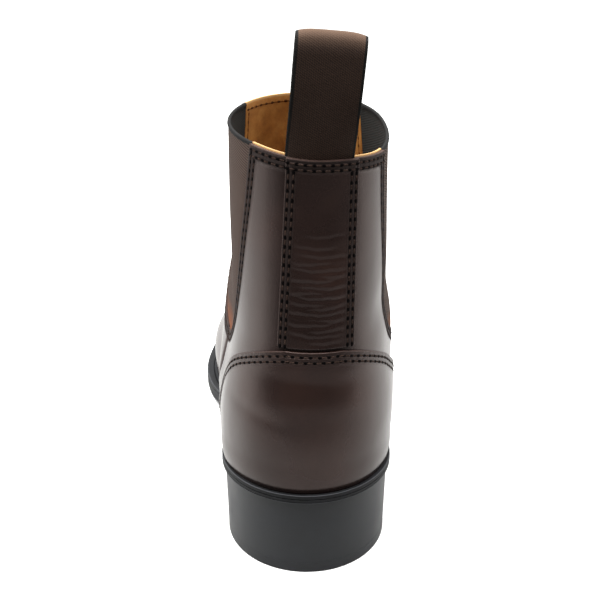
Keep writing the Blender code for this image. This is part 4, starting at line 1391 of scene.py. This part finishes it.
loop_seam = on_last(float(COLLAR), 0.0, LOOP_SEAM_LIFT)
loop_line = curve_through(range(len(LOOP_POINTS)), LOOP_POINTS)
loop_run = loop_line(np.linspace(0, len(LOOP_POINTS) - 1, LOOP_SAMPLES))
loop_across = np.linspace(-LOOP_WIDTH / 2, LOOP_WIDTH / 2, LOOP_COLUMNS)
loop_edge = loop_across / (LOOP_WIDTH / 2)
loop_top = max(point.height for point in LOOP_POINTS)
rim_line = on_last(COLLAR, np.linspace(-0.4, 0.4, 81), LOOP_SEAM_LIFT)
rim_bend = np.interp(loop_across + loop_seam[1], rim_line[:, 1], rim_line[:, 0]) - loop_seam[0]
loop_rows, loop_flat = [], []
for (forward, height), along in zip(loop_run, tape(loop_run)):
    rise = max(height, 0) / loop_top
    row_x = forward + rim_bend * (1 - smooth_step(height, 0, LOOP_FLAT_HEIGHT))
    row_y = loop_across + LOOP_SIDE_LEAN * rise
    row_z = height + loop_edge * LOOP_ROLL * rise - LOOP_BOW * loop_edge**4 * rise**6
    loop_rows.append(np.column_stack((row_x, row_y, row_z)) + loop_seam)
    loop_flat.append(np.column_stack((loop_across, np.full(LOOP_COLUMNS, along))))
pull_loop = close_seams(loft("pull_loop_webbing", loop_rows, loop_flat))
thicken(pull_loop, LOOP_THICKNESS, offset=0)
round_edges(pull_loop, LOOP_EDGE_ROUND, segments=2, corner=60, smooth=50)
dress(pull_loop, webbing, "brown_webbing", "pull_loop")

# Studio
# The boot stands on a wide white table in a white tent. The white board that throws light up at it
# ends a little behind the heel, and the tent is open and dark there, so the leather stays deep.
TABLE_SIZE = 12.0
TABLE_WHITE = "#f4f4f3"
TABLE_GLOW = 0.3
BACKDROP_GLOW = 1.0
BACKDROP_SIDES = 96
BOARD_SIZE = 4.0
BOARD_END = -0.16
BOARD_WHITE = "#bcbcba"
BOARD_DARK = "#707070"
BOARD_FADE = (-0.16, 0.02)
TENT_BRIGHT = 1.75
TENT_FRONT = 0.7
TENT_FRONT_RUN = (0.4, 0.95)
OPENING_DARK = 0.05
OPENING_WIDTH_RUN = (0.45, -0.55)
OPENING_TOP_RUN = (0.85, 0.5)
FLOOR_BEHIND = 0.4
FLOOR_BEHIND_RUN = (-0.05, -0.32)
TOP_BOX_PLACE = (0.1, 0.15, 1.25)
TOP_BOX_AIM = (0.05, 0.0, 0.1)
TOP_BOX_SIZE = 1.2
TOP_BOX_POWER = 36.0

# Table and backdrop are matt white paper that glows, so that the picture's ground stays white.
bpy.ops.object.select_all(action="DESELECT")
bpy.ops.mesh.primitive_plane_add(size=TABLE_SIZE, location=(0, 0, 0))
table = bpy.context.object
bpy.ops.object.select_all(action="DESELECT")
bpy.ops.mesh.primitive_cylinder_add(
    vertices=BACKDROP_SIDES,
    radius=TABLE_SIZE / 2,
    depth=TABLE_SIZE,
    end_fill_type="NOTHING",
    location=(0, 0, TABLE_SIZE / 2),
)
backdrop = bpy.context.object
bpy.ops.object.transform_apply(location=True)
for sheet, name, finish, glow in (
    (table, "white_table", "matt_white_table", TABLE_GLOW),
    (backdrop, "white_backdrop", "white_backdrop_paper", BACKDROP_GLOW),
):
    sheet.name = sheet.data.name = name
    paper, tree = new_material(finish, roughness=0.9, base_color=TABLE_WHITE)
    set_shader(tree, emission_color=TABLE_WHITE, emission_strength=glow)
    sheet.data.materials.append(paper)
    sheet.visible_glossy = sheet.visible_diffuse = sheet.visible_shadow = False

# The board is matt, and greyer towards its end behind the heel, so that the heel stays dark.
bpy.ops.object.select_all(action="DESELECT")
bpy.ops.mesh.primitive_plane_add(size=BOARD_SIZE, location=(BOARD_END + BOARD_SIZE / 2, 0, -MM))
board = bpy.context.object
board.name = board.data.name = "white_board"
bpy.ops.object.transform_apply(location=True)
board_finish, tree = new_material("matt_white_board", roughness=0.9)
forward = add_node(tree, "SeparateXYZ", {"Vector": own_place(tree)}).outputs["X"]
set_shader(tree, base_color=blend(tree, ranged(tree, forward, *BOARD_FADE), BOARD_DARK, BOARD_WHITE))
board.data.materials.append(board_finish)
board.visible_camera = False

# The tent is white all round. A dark opening behind the camera, wide as the boot and tall as a person,
# leaves the leather that faces it deep brown.
world = bpy.data.worlds.new("white_tent")
world.use_nodes = True
bpy.context.scene.world = world
tree = world.node_tree
tent_cloth = tree.nodes["Background"]
look = add_node(tree, "SeparateXYZ", {"Vector": add_node(tree, "TexCoord").outputs["Generated"]}).outputs
soft = {"interpolation_type": "SMOOTHSTEP"}
wide = ranged(tree, look["X"], *OPENING_WIDTH_RUN, **soft)
high = ranged(tree, look["Z"], *OPENING_TOP_RUN, **soft)
ahead = ranged(tree, look["X"], *TENT_FRONT_RUN, **soft)
behind = ranged(tree, look["Z"], *FLOOR_BEHIND_RUN, OPENING_DARK, FLOOR_BEHIND, **soft)
front = reckon(tree, "MULTIPLY", ahead, high)
opening = reckon(tree, "MULTIPLY", wide, high)
cloth = blend(tree, front, grey(TENT_BRIGHT), grey(TENT_FRONT))
feed(tree, tent_cloth.inputs["Color"], blend(tree, opening, cloth, behind))
tent_cloth.inputs["Strength"].default_value = 1.0


def turned(holder, aim):
    """Turns a lamp or the camera to look at a point."""
    way = np.array(aim) - np.array(holder.location)
    flat = math.hypot(way[0], way[1])
    holder.rotation_euler = (math.pi / 2 + math.atan2(way[2], flat), 0, math.atan2(-way[0], way[1]))


lamp = bpy.data.lights.new("top_box", "AREA")
lamp.shape = "SQUARE"
lamp.size = TOP_BOX_SIZE
lamp.energy = TOP_BOX_POWER
top_box = bpy.data.objects.new("top_box", lamp)
bpy.context.scene.collection.objects.link(top_box)
top_box.location = TOP_BOX_PLACE
turned(top_box, TOP_BOX_AIM)

# Camera
# The lens stands behind the heel, a little above the collar, as in the photograph. The picture is
# square, and the lens is set from the photograph's own focal length with the boot drawn larger.
CAMERA_PLACE = (-392.5, 13.16, 252.2)
CAMERA_AIM = (24.0, 1.43, 100.9)
PHOTO_FOCAL_PIXELS = 848.0
PICTURE_PIXELS = 600.0
ENLARGED = 1.18
SENSOR_WIDTH = 36.0
lens = bpy.data.cameras.new("rear_camera")
lens.sensor_width = SENSOR_WIDTH
lens.lens = PHOTO_FOCAL_PIXELS * ENLARGED / PICTURE_PIXELS * SENSOR_WIDTH
lens.clip_start = 0.01
camera = bpy.data.objects.new("rear_camera", lens)
bpy.context.scene.collection.objects.link(camera)
camera.location = [v * MM for v in CAMERA_PLACE]
turned(camera, [v * MM for v in CAMERA_AIM])
bpy.context.scene.camera = camera
bpy.context.scene.view_settings.view_transform = "Standard"
